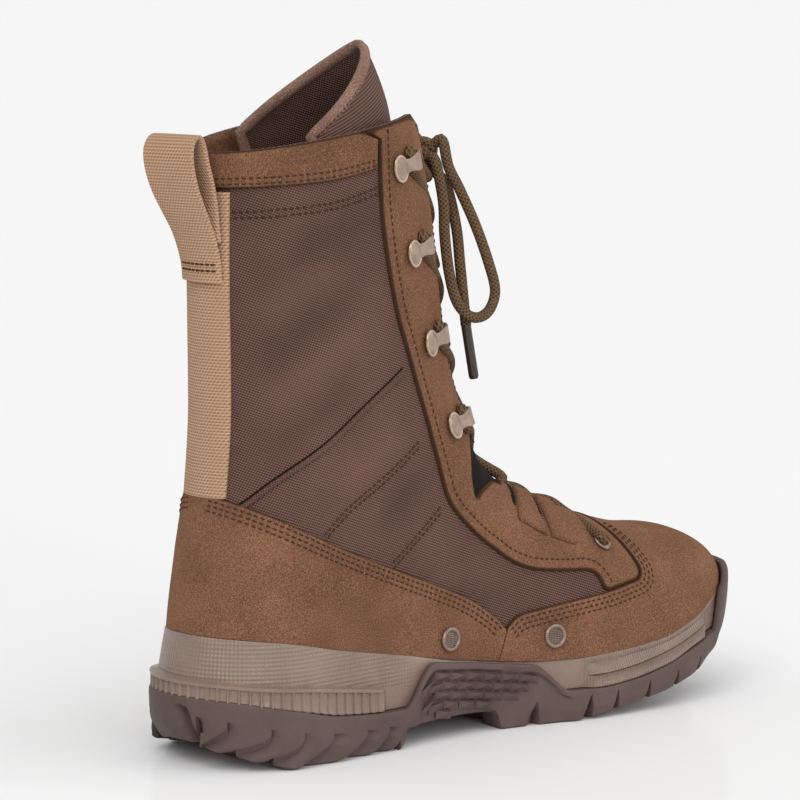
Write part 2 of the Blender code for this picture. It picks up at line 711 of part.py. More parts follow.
# How far the loop's edges are turned back and forward where it stands farthest off.
LOOP_SKEW = 2.8


def make_pull_loop():
    """Pull loop: webbing folded on itself behind the collar, both ends sewn down at its base."""
    line = smooth_line(LOOP)
    run = np.gradient(line, axis=0)
    across = np.stack([run[:, 1], -run[:, 0]], -1)
    across /= np.linalg.norm(across, axis=1, keepdims=True)
    half = WEB_WIDTH / 2 - 0.5
    layers = []
    off = line[0, 0] - line[:, 0]
    skew = LOOP_SKEW * off / off.max()
    for face in (-0.5, 0.5):
        edge = line + across * LOOP_THICK * face
        layers.append(np.stack([np.column_stack([edge[:, 0] - side * skew, np.full(len(edge), side * half), edge[:, 1]])
                                for side in (MEDIAL, LATERAL)]))
    return wall_solid("pull_loop", layers[0], layers[1], "webbing")


def place_on(obj, x, z, lift, side, forward=(1, 0, 0)):
    """Turns an object so that its Z follows the upper's normal and its X runs forward along the face."""
    point, normal = skin(np.array([float(x)]), np.array([float(z)]), side, lift)
    up = Vector(normal[0])
    ahead = Vector(forward)
    ahead = (ahead - up * ahead.dot(up)).normalized()
    turn = Matrix((ahead, up.cross(ahead), up)).transposed()
    obj.matrix_basis = Matrix.Translation(Vector(point[0]) * MM) @ turn.to_4x4()


def turned(name, profile, material, sides=12):
    """A solid turned about Z from a closed profile of radius and height, or from one that starts on the axis."""
    points, faces = [], []
    for k in range(sides):
        angle = 2 * math.pi * k / sides
        points += [(r * math.cos(angle), r * math.sin(angle), h) for r, h in profile]
    count = len(profile)
    last = count if profile[0][0] > 0 else count - 1
    for k in range(sides):
        for j in range(last):
            a, b = k * count, (k + 1) % sides * count
            face = [a + j, b + j, b + (j + 1) % count, a + (j + 1) % count]
            faces.append(face)
    return mesh_object(name, points, faces, material)


HOOK_WAY = (1, 0, 0.28)
HOOK = {"rivet": 5.2, "rivet_rise": 1.6, "plate": 1.2, "width": 6.4, "reach": 13.5, "mouth": 3.4, "lip": 6.0}


def make_hooks():
    """Lace hooks: a rivet head and a plate that runs forward and folds back over itself."""
    plate, reach, mouth, lip = HOOK["plate"], HOOK["reach"], HOOK["mouth"], HOOK["lip"]
    fold = [(0, 0), (reach - 1, 0), (reach, 1.2), (reach, plate + mouth), (reach - 1, 2 * plate + mouth),
            (reach - lip, 2 * plate + mouth), (reach - lip, plate + mouth), (reach - plate, plate + mouth),
            (reach - plate, plate), (0, plate)]
    half = HOOK["width"] / 2
    for side in (MEDIAL, LATERAL):
        for number, (x, z, lift) in enumerate(HOOKS, start=1):
            name = f"hook_{number}_{SIDE_NAMES[side]}"
            arm = prism(f"{name}_arm", fold, -half, half)
            head = turned(name, [(0, 0), (HOOK["rivet"], 0), (HOOK["rivet"] - 1.0, HOOK["rivet_rise"]),
                                 (0, HOOK["rivet_rise"])], "metal", 8)
            boolean(head, arm, "UNION")
            for obj in (head, arm):
                place_on(obj, x, z, lift, side, HOOK_WAY)


def make_eyelets():
    """Eyelet rings at the foot of the lacing, and the mesh vents on the inner side."""
    for side in (MEDIAL, LATERAL):
        ring = turned(f"eyelet_{SIDE_NAMES[side]}", [(2.6, 0), (4.6, 0), (4.2, 1.2), (3.0, 1.2)], "metal", 8)
        place_on(ring, *EYELET, side)
    for number, spot in enumerate(VENTS, start=1):
        vent = turned(f"vent_{number}", [(0, 0), (5.2, 0), (4.9, 1.1), (3.7, 1.1), (3.4, 0.5), (0, 0.5)], "metal", 8)
        place_on(vent, *spot, MEDIAL)


def tube(name, path, radius, material, sides=5):
    """A round cord along a path."""
    path = np.asarray(path, float)
    run = np.gradient(path, axis=0)
    run /= np.linalg.norm(run, axis=1, keepdims=True)
    side = np.cross(run[0], (0.31, 0.12, 0.94))
    points = []
    for k in range(len(path)):
        side = side - run[k] * side.dot(run[k])
        side /= np.linalg.norm(side)
        up = np.cross(run[k], side)
        for step in range(sides):
            angle = 2 * math.pi * step / sides
            points.append(path[k] + radius * (math.cos(angle) * side + math.sin(angle) * up))
    faces = [list(range(sides)), list(range(len(points) - 1, len(points) - sides - 1, -1))]
    for k in range(len(path) - 1):
        for step in range(sides):
            after = (step + 1) % sides
            faces.append([k * sides + step, k * sides + after, (k + 1) * sides + after, (k + 1) * sides + step])
    return mesh_object(name, points, faces, material)


# Lace: places along the ridge where it turns at each side, from the eyelets up to the top hooks.
LACE_TURNS = (66.0, 48.0, 30.0, 3.5, -7.5, -14.0, -19.5)
LACE_TURN_HALF = 8.5
LACE_LIFT = 5.1
LACE_BAR = (2.0, 0.0, 1.5)
LACE_ENTERS = (-0.75, 0.3, -0.55)
LACE_STOPS = 2.0


def lace_turn(front, side):
    """Where the lace turns beside the throat."""
    row = np.interp(front, ROWS.values[::-1, 2], ROWS.values[::-1, 0])
    angle = throat_angle(row, side, LACE_TURN_HALF)
    x, z = row_line(row, np.array([angle]))
    return skin(x, z, side, LACE_LIFT)[0][0]


def make_lace():
    """Lace crossings over the tongue as one joined solid, and the bow as cords."""
    runs = []
    for start in (MEDIAL, LATERAL):
        turns = [lace_turn(front, start * (-1) ** k) for k, front in enumerate(LACE_TURNS)]
        last_side = start * (-1) ** (len(LACE_TURNS) - 1)
        runs.append(smooth_line([*turns, knot_exit(LACE_ENTERS, last_side, LACE_STOPS)]))
    bar = [(runs[0][0] + runs[1][0]) / 2 + LACE_BAR, runs[1][0] + (0.4, 1.0, 0.2)]
    crossings = tube("lace_crossings", [*runs[0][::-1], *bar], LACE / 2, "lace")
    other = tube("lace_crossings_return", runs[1], LACE / 2 - 0.05, "lace")
    other.hide_render = True
    other.display_type = "WIRE"
    boolean(crossings, other, "UNION")


# Bow of the lace: which way each strand leaves the knot, and its route as x, distance from the middle and z.
KNOT = {"centre": (-14.0, 0.0, 242.5), "radii": (5.5, 6.5, 5.5)}
BOW_LOOP = {
    "leaves": (0.35, 0.8, 0.5),
    "returns": (-0.15, 0.93, -0.33),
    "route": [(-11, 13, 237), (-8, 17, 227), (-3, 21, 212.5), (2.5, 23, 197), (5.5, 24, 185), (2.5, 24, 177),
              (-4, 24, 174), (-10.5, 23.5, 176), (-15.5, 22.5, 182.5), (-18, 21, 194.5), (-18.5, 19, 209),
              (-17.5, 17, 223)],
}
BOW_END = {
    "leaves": (0.3, 0.47, -0.83),
    "route": [(-9.5, 10, 229), (-8, 14.5, 212), (-8, 17, 196), (-7.5, 18.5, 182), (-6, 18.5, 170.5)],
}
AGLET_END = (-0.9, 18.0, 147.7)
AGLET_RADIUS = 2.0
CORD_STEP = 13.0
CORD_LEAD = 3.5
KNOT_CLEAR = 0.5


def knot_exit(leaves, side, extra):
    """A point just outside the knot in the direction that a strand leaves it."""
    way = np.array(leaves) * (1, side, 1)
    way /= np.linalg.norm(way)
    reach = 1 / np.linalg.norm(way / np.array(KNOT["radii"]))
    return np.array(KNOT["centre"]) + way * (reach + extra)


def cord(name, route, radius):
    """A free cord: a smooth curve through its route, with a round bevel and filled caps."""
    fine = smooth_line(route, 8)
    length = np.concatenate([[0], np.cumsum(np.linalg.norm(np.diff(fine, axis=0), axis=1))])
    marks = np.linspace(0, length[-1], int(length[-1] / CORD_STEP) + 2)
    marks = np.union1d(marks, [CORD_LEAD, length[-1] - CORD_LEAD])
    points = np.column_stack([np.interp(marks, length, fine[:, axis]) for axis in range(3)]) * MM
    curve = bpy.data.curves.new(name, "CURVE")
    curve.dimensions = "3D"
    curve.bevel_depth = radius * MM
    curve.bevel_resolution = 1
    curve.use_fill_caps = True
    spline = curve.splines.new("POLY")
    spline.points.add(len(points) - 1)
    spline.points.foreach_set("co", np.column_stack([points, np.ones(len(points))]).ravel())
    obj = bpy.data.objects.new(name, curve)
    bpy.context.scene.collection.objects.link(obj)
    obj.parent = ROOT
    dress(obj, "lace")
    return obj


def make_bow():
    """The knot, and on each side a loop and an end with its aglet."""
    form = bmesh.new()
    bmesh.ops.create_icosphere(form, subdivisions=2, radius=1.0)
    scale = Matrix.Diagonal((*KNOT["radii"], 1))
    bmesh.ops.transform(form, matrix=scale, verts=form.verts)
    points = [v.co + Vector(KNOT["centre"]) for v in form.verts]
    faces = [[v.index for v in face.verts] for face in form.faces]
    mesh_object("lace_knot", points, faces, "lace")
    form.free()
    for side in (MEDIAL, LATERAL):
        mirror = np.array((1, side, 1))
        loop = [knot_exit(BOW_LOOP["leaves"], side, KNOT_CLEAR), knot_exit(BOW_LOOP["leaves"], side, 4.5)]
        loop += [np.array(p) * mirror for p in BOW_LOOP["route"]]
        loop += [knot_exit(BOW_LOOP["returns"], side, 4.5), knot_exit(BOW_LOOP["returns"], side, KNOT_CLEAR)]
        cord(f"lace_loop_{SIDE_NAMES[side]}", loop, LACE / 2)
        end = [knot_exit(BOW_END["leaves"], side, KNOT_CLEAR), knot_exit(BOW_END["leaves"], side, 4.5)]
        end += [np.array(p) * mirror for p in BOW_END["route"]]
        cord(f"lace_end_{SIDE_NAMES[side]}", end, LACE / 2)
        run = np.array(AGLET_END) * mirror - end[-1]
        run /= np.linalg.norm(run)
        aglet = [end[-1] + run * SEAT, np.array(AGLET_END) * mirror]
        tube(f"aglet_{SIDE_NAMES[side]}", aglet, AGLET_RADIUS, "lining", 8)


ROOT = None


def main():
    global ROOT
    for obj in list(bpy.data.objects):
        bpy.data.objects.remove(obj)
    ROOT = bpy.data.objects.new("boot", None)
    ROOT.location = Vector(ORIGIN_SHIFT) * MM
    bpy.context.scene.collection.objects.link(ROOT)
    shell("upper", -WALL, 0.0, "nylon")
    make_outsole()
    make_midsole()
    make_insole()
    make_tongue()
    make_overlays()
    make_pull_loop()
    make_hooks()
    make_eyelets()
    make_lace()
    make_bow()


if __name__ == "__main__":
    main()
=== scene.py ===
"""Tactical boot for the left foot: the visual model, an add-on with an operator for each group of pieces.

Sizes are written in millimetres, with the toe along +X, the outer side of the foot along +Y and the floor
at z = 0. They become metres in the part's own frame where a mesh is made.
"""
import math

import bmesh
import bpy
import numpy as np
from bpy.props import FloatProperty, FloatVectorProperty, PointerProperty
from bpy.types import Operator, Panel, PropertyGroup
from mathutils import Matrix, Vector
from mathutils.kdtree import KDTree


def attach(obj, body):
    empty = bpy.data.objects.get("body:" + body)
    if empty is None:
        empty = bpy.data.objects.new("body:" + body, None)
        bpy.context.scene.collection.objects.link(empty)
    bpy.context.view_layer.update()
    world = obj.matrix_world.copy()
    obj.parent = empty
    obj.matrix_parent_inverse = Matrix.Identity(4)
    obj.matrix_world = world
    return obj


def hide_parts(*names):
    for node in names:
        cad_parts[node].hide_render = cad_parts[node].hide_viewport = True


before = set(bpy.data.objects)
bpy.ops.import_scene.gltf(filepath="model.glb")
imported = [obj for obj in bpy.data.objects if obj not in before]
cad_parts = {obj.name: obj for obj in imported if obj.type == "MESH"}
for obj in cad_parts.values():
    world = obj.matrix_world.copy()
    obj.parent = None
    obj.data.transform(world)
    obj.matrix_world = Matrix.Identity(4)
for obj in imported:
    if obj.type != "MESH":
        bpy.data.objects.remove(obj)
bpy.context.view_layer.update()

bl_info = {
    "name": "Tactical boot",
    "version": (1, 0, 0),
    "blender": (4, 5, 0),
    "location": "View3D > Sidebar > Boot",
    "description": "Makes a tall lace-up boot in suede and nylon, piece by piece",
    "category": "Add Mesh",
}

MM = 0.001
MEDIAL, LATERAL = -1, 1
SIDES = {"medial": MEDIAL, "lateral": LATERAL}
# From the tables' millimetres to the part's origin.
ORIGIN_SHIFT = np.array([2.55, -1.65, 0.0])

# Driving sizes of the last.
TOE_END = 141.5
TOE_ROUND = 50.0
TOE_DROP = 34.0
TOE_POWER = 2.2
DROP_POWER = 2.3
ARCH_POWER = 2.2
CROWN_POWER = 1.1
TOE_CAMBER = 6.0
CAMBER_FROM = 40.0
THROAT_END = 75.0
BLEND_X = (-75.0, 0.0)
BLEND_Z = (95.0, 160.0)
WALL = 2.0
LAST_ROW = 15
THROAT_ROW = 5
GRID_COLUMNS = 150
# Rows of the upper's grid below the throat and beside it.
LOWER_ROWS, UPPER_ROWS = 58, 76


class Sections:
    """A table of sections, read anywhere along its first column by a monotone cubic."""

    def __init__(self, columns, rows):
        self.columns = columns
        self.at = np.array([row[0] for row in rows], float)
        self.values = np.array(rows, float)
        self.step = np.diff(self.at)
        self.slopes = np.stack([self.slope_of(column) for column in self.values.T], -1)

    def slope_of(self, values):
        rise = np.diff(values) / self.step
        slope = np.concatenate([rise[:1], np.zeros(len(rise) - 1), rise[-1:]])
        for k in range(1, len(rise)):
            if rise[k - 1] * rise[k] > 0:
                early = 2 * self.step[k] + self.step[k - 1]
                late = self.step[k] + 2 * self.step[k - 1]
                slope[k] = (early + late) / (early / rise[k - 1] + late / rise[k])
        return slope

    def read(self, column, place):
        column = self.columns.index(column)
        values, slope = self.values[:, column], self.slopes[:, column]
        place = np.clip(np.asarray(place, float), self.at[0], self.at[-1])
        k = np.clip(np.searchsorted(self.at, place) - 1, 0, len(self.step) - 1)
        step = self.step[k]
        t = (place - self.at[k]) / step
        start = values[k] * (1 + 2 * t) * (1 - t) ** 2 + step * slope[k] * t * (1 - t) ** 2
        end = values[k + 1] * t * t * (3 - 2 * t) - step * slope[k + 1] * t * t * (1 - t)
        return start + end


# Cross sections of the foot: half widths at the feather line, and the heights of that line and of the ridge.
FOOT = Sections(("x", "medial", "lateral", "feather", "ridge"), [
    (-142, 33.0, 33.5, 54.0, 290),
    (-120, 33.5, 34.0, 51.5, 290),
    (-90, 33.5, 35.0, 45.0, 290),
    (-55, 32.5, 38.0, 38.5, 290),
    (-35, 32.0, 41.0, 34.5, 290),
    (-27, 32.0, 42.0, 33.0, 255),
    (-20, 32.2, 43.0, 32.0, 223),
    (-16, 32.5, 43.3, 31.5, 200),
    (-11, 33.0, 44.0, 30.5, 170),
    (-3, 34.0, 45.2, 29.5, 140),
    (6, 35.5, 46.5, 28.5, 119),
    (18, 38.0, 48.0, 27.5, 106),
    (37, 42.0, 50.0, 27.0, 95),
    (57, 45.0, 51.0, 28.0, 87),
    (81, 46.0, 50.0, 30.5, 77),
    (100, 44.5, 47.0, 36.0, 72.5),
    (120, 42.0, 44.0, 44.0, 71),
    (143, 40.0, 42.0, 52.0, 70),
])
# Level sections of the heel and shaft, with how far the back and the front are rounded.
SHAFT = Sections(("z", "back", "half", "back_round", "front_round"), [
    (40, -142.5, 33.5, 36, 60),
    (54, -141.5, 33.5, 36, 60),
    (84, -137.5, 33.0, 38, 60),
    (107, -134.5, 32.0, 43, 60),
    (147, -132.0, 31.5, 50, 58),
    (197, -132.0, 33.5, 52, 54),
    (250, -131.0, 35.0, 52, 52),
    (290, -131.0, 35.5, 52, 52),
])
# Rows of the upper: height at the back, place of the front on the ridge, how much of the feather
# line's dip the row keeps, and half the width of the throat there.
ROWS = Sections(("row", "back", "front", "follow", "gap"), [
    (0, 54.0, TOE_END, 1.00, 0),
    (1, 59.0, 140.0, 1.00, 0),
    (2, 65.5, 134.5, 0.90, 0),
    (3, 72.5, 124.0, 0.72, 0),
    (4, 80.0, 106.0, 0.50, 0),
    (5, 87.5, THROAT_END, 0.32, 0),
    (6, 91.0, 70.5, 0.26, 6.5),
    (7, 97.0, 59.0, 0.18, 10.0),
    (8, 106.0, 44.0, 0.10, 11.0),
    (9, 116.0, 25.0, 0.05, 11.5),
    (10, 130.0, 9.0, 0.00, 12.0),
    (11, 149.0, -2.0, 0.00, 12.0),
    (12, 174.0, -9.5, 0.00, 12.5),
    (13, 203.0, -15.5, 0.00, 13.0),
    (14, 228.0, -20.5, 0.00, 13.5),
    (14.6, 239.6, -24.9, 0.00, 14.6),
    (14.85, 244.5, -27.1, 0.00, 17.5),
    (15, 247.5, -28.5, 0.00, 25.0),
])
# How far the sole stands out past the upper, and the heights of its steps along its length.
SOLE = Sections(("x", "margin", "band", "parting", "floor"), [
    (-151, 9.0, 36.0, 30.0, 10.5),
    (-138, 9.0, 35.5, 28.5, 5.5),
    (-126, 9.0, 34.0, 26.0, 2.0),
    (-116, 9.0, 33.0, 24.0, 0.0),
    (-95, 8.5, 30.0, 19.5, 0.0),
    (-60, 6.5, 25.0, 17.0, 0.0),
    (-57, 6.4, 24.6, 17.0, 8.0),
    (-25, 5.2, 22.0, 16.0, 9.0),
    (-5, 5.0, 19.8, 15.0, 8.0),
    (-2, 5.0, 19.6, 15.0, 0.0),
    (30, 5.4, 18.3, 13.8, 0.0),
    (45, 5.6, 18.2, 13.7, 1.8),
    (60, 5.8, 19.5, 15.0, 4.3),
    (80, 6.0, 23.5, 19.0, 7.6),
    (100, 6.2, 30.0, 25.5, 12.8),
    (113, 6.2, 35.5, 29.0, 16.0),
    (149, 6.2, 44.0, 32.0, 23.5),
])
# Top of the outsole's outer rim, as a share of the way from the parting line to the feather line,
# and how far the midsole draws in behind that rim.
RIM_RISE = Sections(("x", "rise", "inside"), [
    (-151, 0.0, 0.0),
    (-72, 0.0, 0.0),
    (-66, 0.0, 1.0),
    (-58, 0.0, 1.0),
    (-40, 0.92, 1.0),
    (-15, 0.96, 1.0),
    (12, 0.92, 1.0),
    (31, 0.0, 1.0),
    (38, 0.0, 1.0),
    (44, 0.0, 0.0),
    (104, 0.0, 0.0),
    (110, 0.0, 1.0),
    (117, 0.0, 1.0),
    (126, 1.06, 1.0),
    (149, 1.25, 1.0),
])
RIM = 3.6

# Edges of the overlays in the side view, as x and z.
COUNTER_EDGE = [
    (-160, 119), (-139, 112.5), (-126, 106), (-95, 90), (-57, 74), (-21, 59.5), (-4, 49), (1.2, 43.6),
]
VAMP_EDGE = [
    (1.9, 43.6), (8, 47.8), (18, 49.4), (32, 51), (54, 53), (66, 54.6), (74.5, 56), (77.5, 60), (76.5, 68),
    (74, 80),
]
EYESTAY_EDGE = [
    (-69, 275), (-69, 241), (-66.5, 215), (-59, 184), (-49, 160), (-40, 137), (-34, 118), (-28, 99.5),
    (-14.4, 85.4), (-1.5, 76), (9, 69.2), (20, 65.3), (35, 63.3), (47.5, 62.2), (51.8, 59.4), (53.8, 53.6),
]
NOTCH = [
    (24, 107), (15.6, 100.8), (9, 102.8), (2.4, 103), (-5.9, 101.5), (-10.7, 99.2), (-12, 107), (-10.6, 114),
    (-8.2, 121), (-3, 131), (5, 142),
]
CUFF_EDGE = [(-160, 231.5), (-131, 233), (-107, 234.5), (-90, 236), (-70, 239.5)]
STRIPS = {
    "lower": [(44, 106), (37.5, 91), (34.8, 85.6), (32.8, 77), (46.3, 71.8), (45.8, 77), (47, 83), (52, 102)],
    "upper": [(36, 114), (26, 98), (20, 92.4), (16, 86.2), (30.6, 77.4), (31, 86), (34, 92), (41, 106)],
}
# Slots beside the strips, where the lace goes under them: a thin near-black layer paints the shade of the gap
# under each strip.
SLOTS = [
    [(36, 114), (26, 98), (20, 92.4), (17.4, 88), (17.0, 93.5), (22.4, 100), (32, 116)],
    [(44, 106), (37.5, 91), (34.8, 85.6), (33.2, 80), (32.0, 86), (34.4, 92.6), (40.4, 108)],
]
HOOKS = [(-22.7, 130, 2.5), (-36.7, 166, 2.4), (-48.7, 204, 2.0), (-57.7, 239, 2.0)]
HOOK_WAY = (1, 0, 0.28)
EYELET = (62, 71.6, 2.0)
VENTS = [(-29.5, 42, 2.5), (25, 37.5, 2.3)]
# Soft folds in the side view: both ends as x and z, half width, and height out of the surface.
FOLDS = [
    (-128, 178, -84, 206, 8, 1.6),
    (-126, 160, -72, 192, 7, -1.5),
    (-128, 142, -66, 178, 8, 1.5),
    (-122, 124, -74, 154, 6, -1.3),
    (-112, 204, -66, 224, 8, -1.2),
    (-92, 106, -48, 134, 7, 1.3),
    (-72, 88, -34, 114, 6, -1.1),
    (-40, 72, 10, 62, 6, 0.8),
    (96, 70, 104, 52, 7, -0.5),
    (108, 66, 116, 54, 6, 0.4),
]
# Share of a fold's length over which it fades in and out.
FOLD_FADE = 0.3
# Seams on the nylon: the piped one, and the two sewn ones below it.
PIPED_SEAM = [(-129, 104), (-115, 116), (-93, 129), (-72, 143), (-52, 156)]
SEWN_SEAMS = [[(-97, 91), (-82, 102), (-62, 113), (-43, 125)], [(-60, 76), (-46, 86), (-30, 98)]]
CUFF_LINE = [(-131, 222.5), (-116, 223.5), (-90, 226), (-68, 231)]
# Height over which the inside of the collar is faced with suede.
FACING_FROM = 222.0


def unit(vectors, least=0.0):
    """Vectors made one long, or shorter where they are shorter than the least."""
    return vectors / np.maximum(np.linalg.norm(vectors, axis=-1, keepdims=True), least)


def ease(t):
    t = np.clip(t, 0, 1)
    return t * t * (3 - 2 * t)


def ease_between(value, limits):
    return ease((value - limits[0]) / (limits[1] - limits[0]))


def signed_power(value, power):
    return np.sign(value) * np.abs(value) ** power


def rounded(t, power=2.0):
    """Square of a superellipse quarter that is 0 at t = 0 and 1 from t = 1 on, and negative before 0."""
    rest = 1 - np.minimum(t, 1)
    return signed_power(1 - rest ** power, 2 / power)


def feather(x):
    return FOOT.read("feather", np.minimum(x, TOE_END))


def ridge(x):
    low = feather(x)
    drop = np.sqrt(np.maximum(rounded((TOE_END - x) / TOE_DROP, DROP_POWER), 0))
    return low + (FOOT.read("ridge", x) - low) * drop


RIDGE_X = np.linspace(-35, THROAT_END + 8, 500)
RIDGE_Z = ridge(RIDGE_X)


def front_x(z):
    """Place of the ridge at a height above the vamp."""
    return np.interp(z, RIDGE_Z[::-1], RIDGE_X[::-1], left=TOE_END)


def camber(x):
    """The centre line leans to the inner side towards the toe."""
    return -TOE_CAMBER * np.clip((x - CAMBER_FROM) / (TOE_END - CAMBER_FROM), 0, 1.1) ** 2


def squared_half_width(x, z, side):
    """The last: foot sections in front, level sections at the heel and shaft, blended in between."""
    half = np.where(side < 0, FOOT.read("medial", x), FOOT.read("lateral", x))
    low, high = feather(x), ridge(x)
    rise = np.maximum((z - low) / np.maximum(high - low, 0.001), 0)
    crown = signed_power(1 - rise ** ARCH_POWER, CROWN_POWER)
    foot = half ** 2 * rounded((TOE_END - x) / TOE_ROUND, TOE_POWER) * crown
    back = rounded((x - SHAFT.read("back", z)) / SHAFT.read("back_round", z))
    front = rounded((front_x(z) - x) / SHAFT.read("front_round", z))
    shaft = SHAFT.read("half", z) ** 2 * back * front
    share = ease_between(x, BLEND_X) * (1 - ease_between(z, BLEND_Z))
    return share * foot + (1 - share) * shaft


def skin(x, z, side, offset=0.0):
    """Points of the upper's outer face, moved out along its normal, and the normals."""
    x, z = np.broadcast_arrays(np.asarray(x, float), np.asarray(z, float))
    step = 0.4
    reach = side * np.sqrt(np.maximum(squared_half_width(x, z, side), 0))
    slope_x = (squared_half_width(x + step, z, side) - squared_half_width(x - step, z, side)) / (2 * step)
    slope_z = (squared_half_width(x, z + step, side) - squared_half_width(x, z - step, side)) / (2 * step)
    lean = (camber(x + step) - camber(x - step)) / (2 * step)
    normal = unit(np.stack([-slope_x - 2 * reach * lean, 2 * reach, -slope_z], -1))
    return np.stack([x, camber(x) + reach, z], -1) + np.asarray(offset)[..., None] * normal, normal


def row_line(row, angle):
    """Side-view line of one row, from the back at angle 0 to the ridge at angle pi."""
    back_z, front = ROWS.read("back", row), ROWS.read("front", row)
    back = SHAFT.read("back", back_z)
    along = (1 - np.cos(angle)) / 2
    x = back + (front - back) * along
    dip = feather(x) - feather(back) - (feather(front) - feather(back)) * along
    return x, back_z + (ridge(front) - back_z) * along + ROWS.read("follow", row) * dip


# Where the search for the throat's edge starts on a row, and how often it halves what is left.
THROAT_SEARCH = {"from": 0.55 * math.pi, "halvings": 36}


def throat_angle(rows, side, gap):
    """Angles on rows where the half width comes down to the throat's edge."""
    rows, gap = np.atleast_1d(rows).astype(float), np.atleast_1d(gap)
    low, high = np.full(rows.shape, THROAT_SEARCH["from"]), np.full(rows.shape, math.pi)
    for _ in range(THROAT_SEARCH["halvings"]):
        middle = (low + high) / 2
        x, z = row_line(rows, middle)
        wide = squared_half_width(x, z, side) > gap ** 2
        low, high = np.where(wide, middle, low), np.where(wide, high, middle)
    return np.where(gap > 0, low, math.pi)


def smooth_line(points, steps=8):
    """A curve through a few given points."""
    points = np.asarray(points, float)
    ends = np.concatenate([points[:1] * 2 - points[1:2], points, points[-1:] * 2 - points[-2:-1]])
    line = []
    for a, b, c, d in zip(ends, ends[1:], ends[2:], ends[3:]):
        for t in np.arange(steps) / steps:
            line.append(0.5 * (2 * b + (c - a) * t + (2 * a - 5 * b + 4 * c - d) * t ** 2
                               + (3 * b - a - 3 * c + d) * t ** 3))
    return np.array(line + [points[-1]])


def lengths(points):
    return np.concatenate([[0], np.cumsum(np.linalg.norm(np.diff(points, axis=0), axis=1))])


def row_lengths(grid):
    """Lengths along each row of a grid of points, from its first point."""
    step = np.linalg.norm(np.diff(grid, axis=1), axis=2)
    return np.concatenate([np.zeros((len(grid), 1)), np.cumsum(step, 1)], 1)


def resample(points, step):
    """The same line with points at even steps."""
    points = np.asarray(points, float)
    length = lengths(points)
    marks = np.linspace(0, length[-1], max(int(round(length[-1] / step)), 1) + 1)
    return np.column_stack([np.interp(marks, length, points[:, k]) for k in range(points.shape[1])])


def fold_height(points):
    """How far the soft folds lift the surface at points of it."""
    x, z = points[..., 0], points[..., 2]
    lift = np.zeros(x.shape)
    for x0, z0, x1, z1, width, height in FOLDS:
        run = np.array([x1 - x0, z1 - z0], float)
        length = np.linalg.norm(run)
        along = ((x - x0) * run[0] + (z - z0) * run[1]) / length ** 2
        across = ((x - x0) * run[1] - (z - z0) * run[0]) / length
        window = ease(along / FOLD_FADE) * ease((1 - along) / FOLD_FADE)
        lift += height * window * np.exp(-(across / width) ** 2)
    return lift


def grid_rows():
    below = np.linspace(0, THROAT_ROW, LOWER_ROWS, endpoint=False)
    return np.concatenate([below, np.linspace(THROAT_ROW, LAST_ROW, UPPER_ROWS)])


def upper_grid():
    """Grid over the upper from its inner throat edge round the back to its outer one: points, normals, UV."""
    rows = grid_rows()
    gap = ROWS.read("gap", rows)
    runs = []
    for side in (MEDIAL, LATERAL):
        angle = np.linspace(0, 1, GRID_COLUMNS + 1)[None, :] * throat_angle(rows, side, gap)[:, None]
        x, z = row_line(rows[:, None], angle)
        runs.append(np.concatenate(skin(x, z, side), -1))
    grid = np.concatenate([runs[0][:, ::-1], runs[1][:, 1:]], 1)
    along = row_lengths(grid[..., :3])
    along -= along[:, GRID_COLUMNS:GRID_COLUMNS + 1]
    return np.concatenate([grid, along[..., None], grid[..., 2:3]], -1)


GRID = upper_grid()
CORNERS = np.arange(GRID[..., 0].size).reshape(GRID.shape[:2])
GRID_FACES = np.stack([CORNERS[:-1, :-1], CORNERS[:-1, 1:], CORNERS[1:, 1:], CORNERS[1:, :-1]], -1)
GRID_FACES = GRID_FACES.reshape(-1, 4)


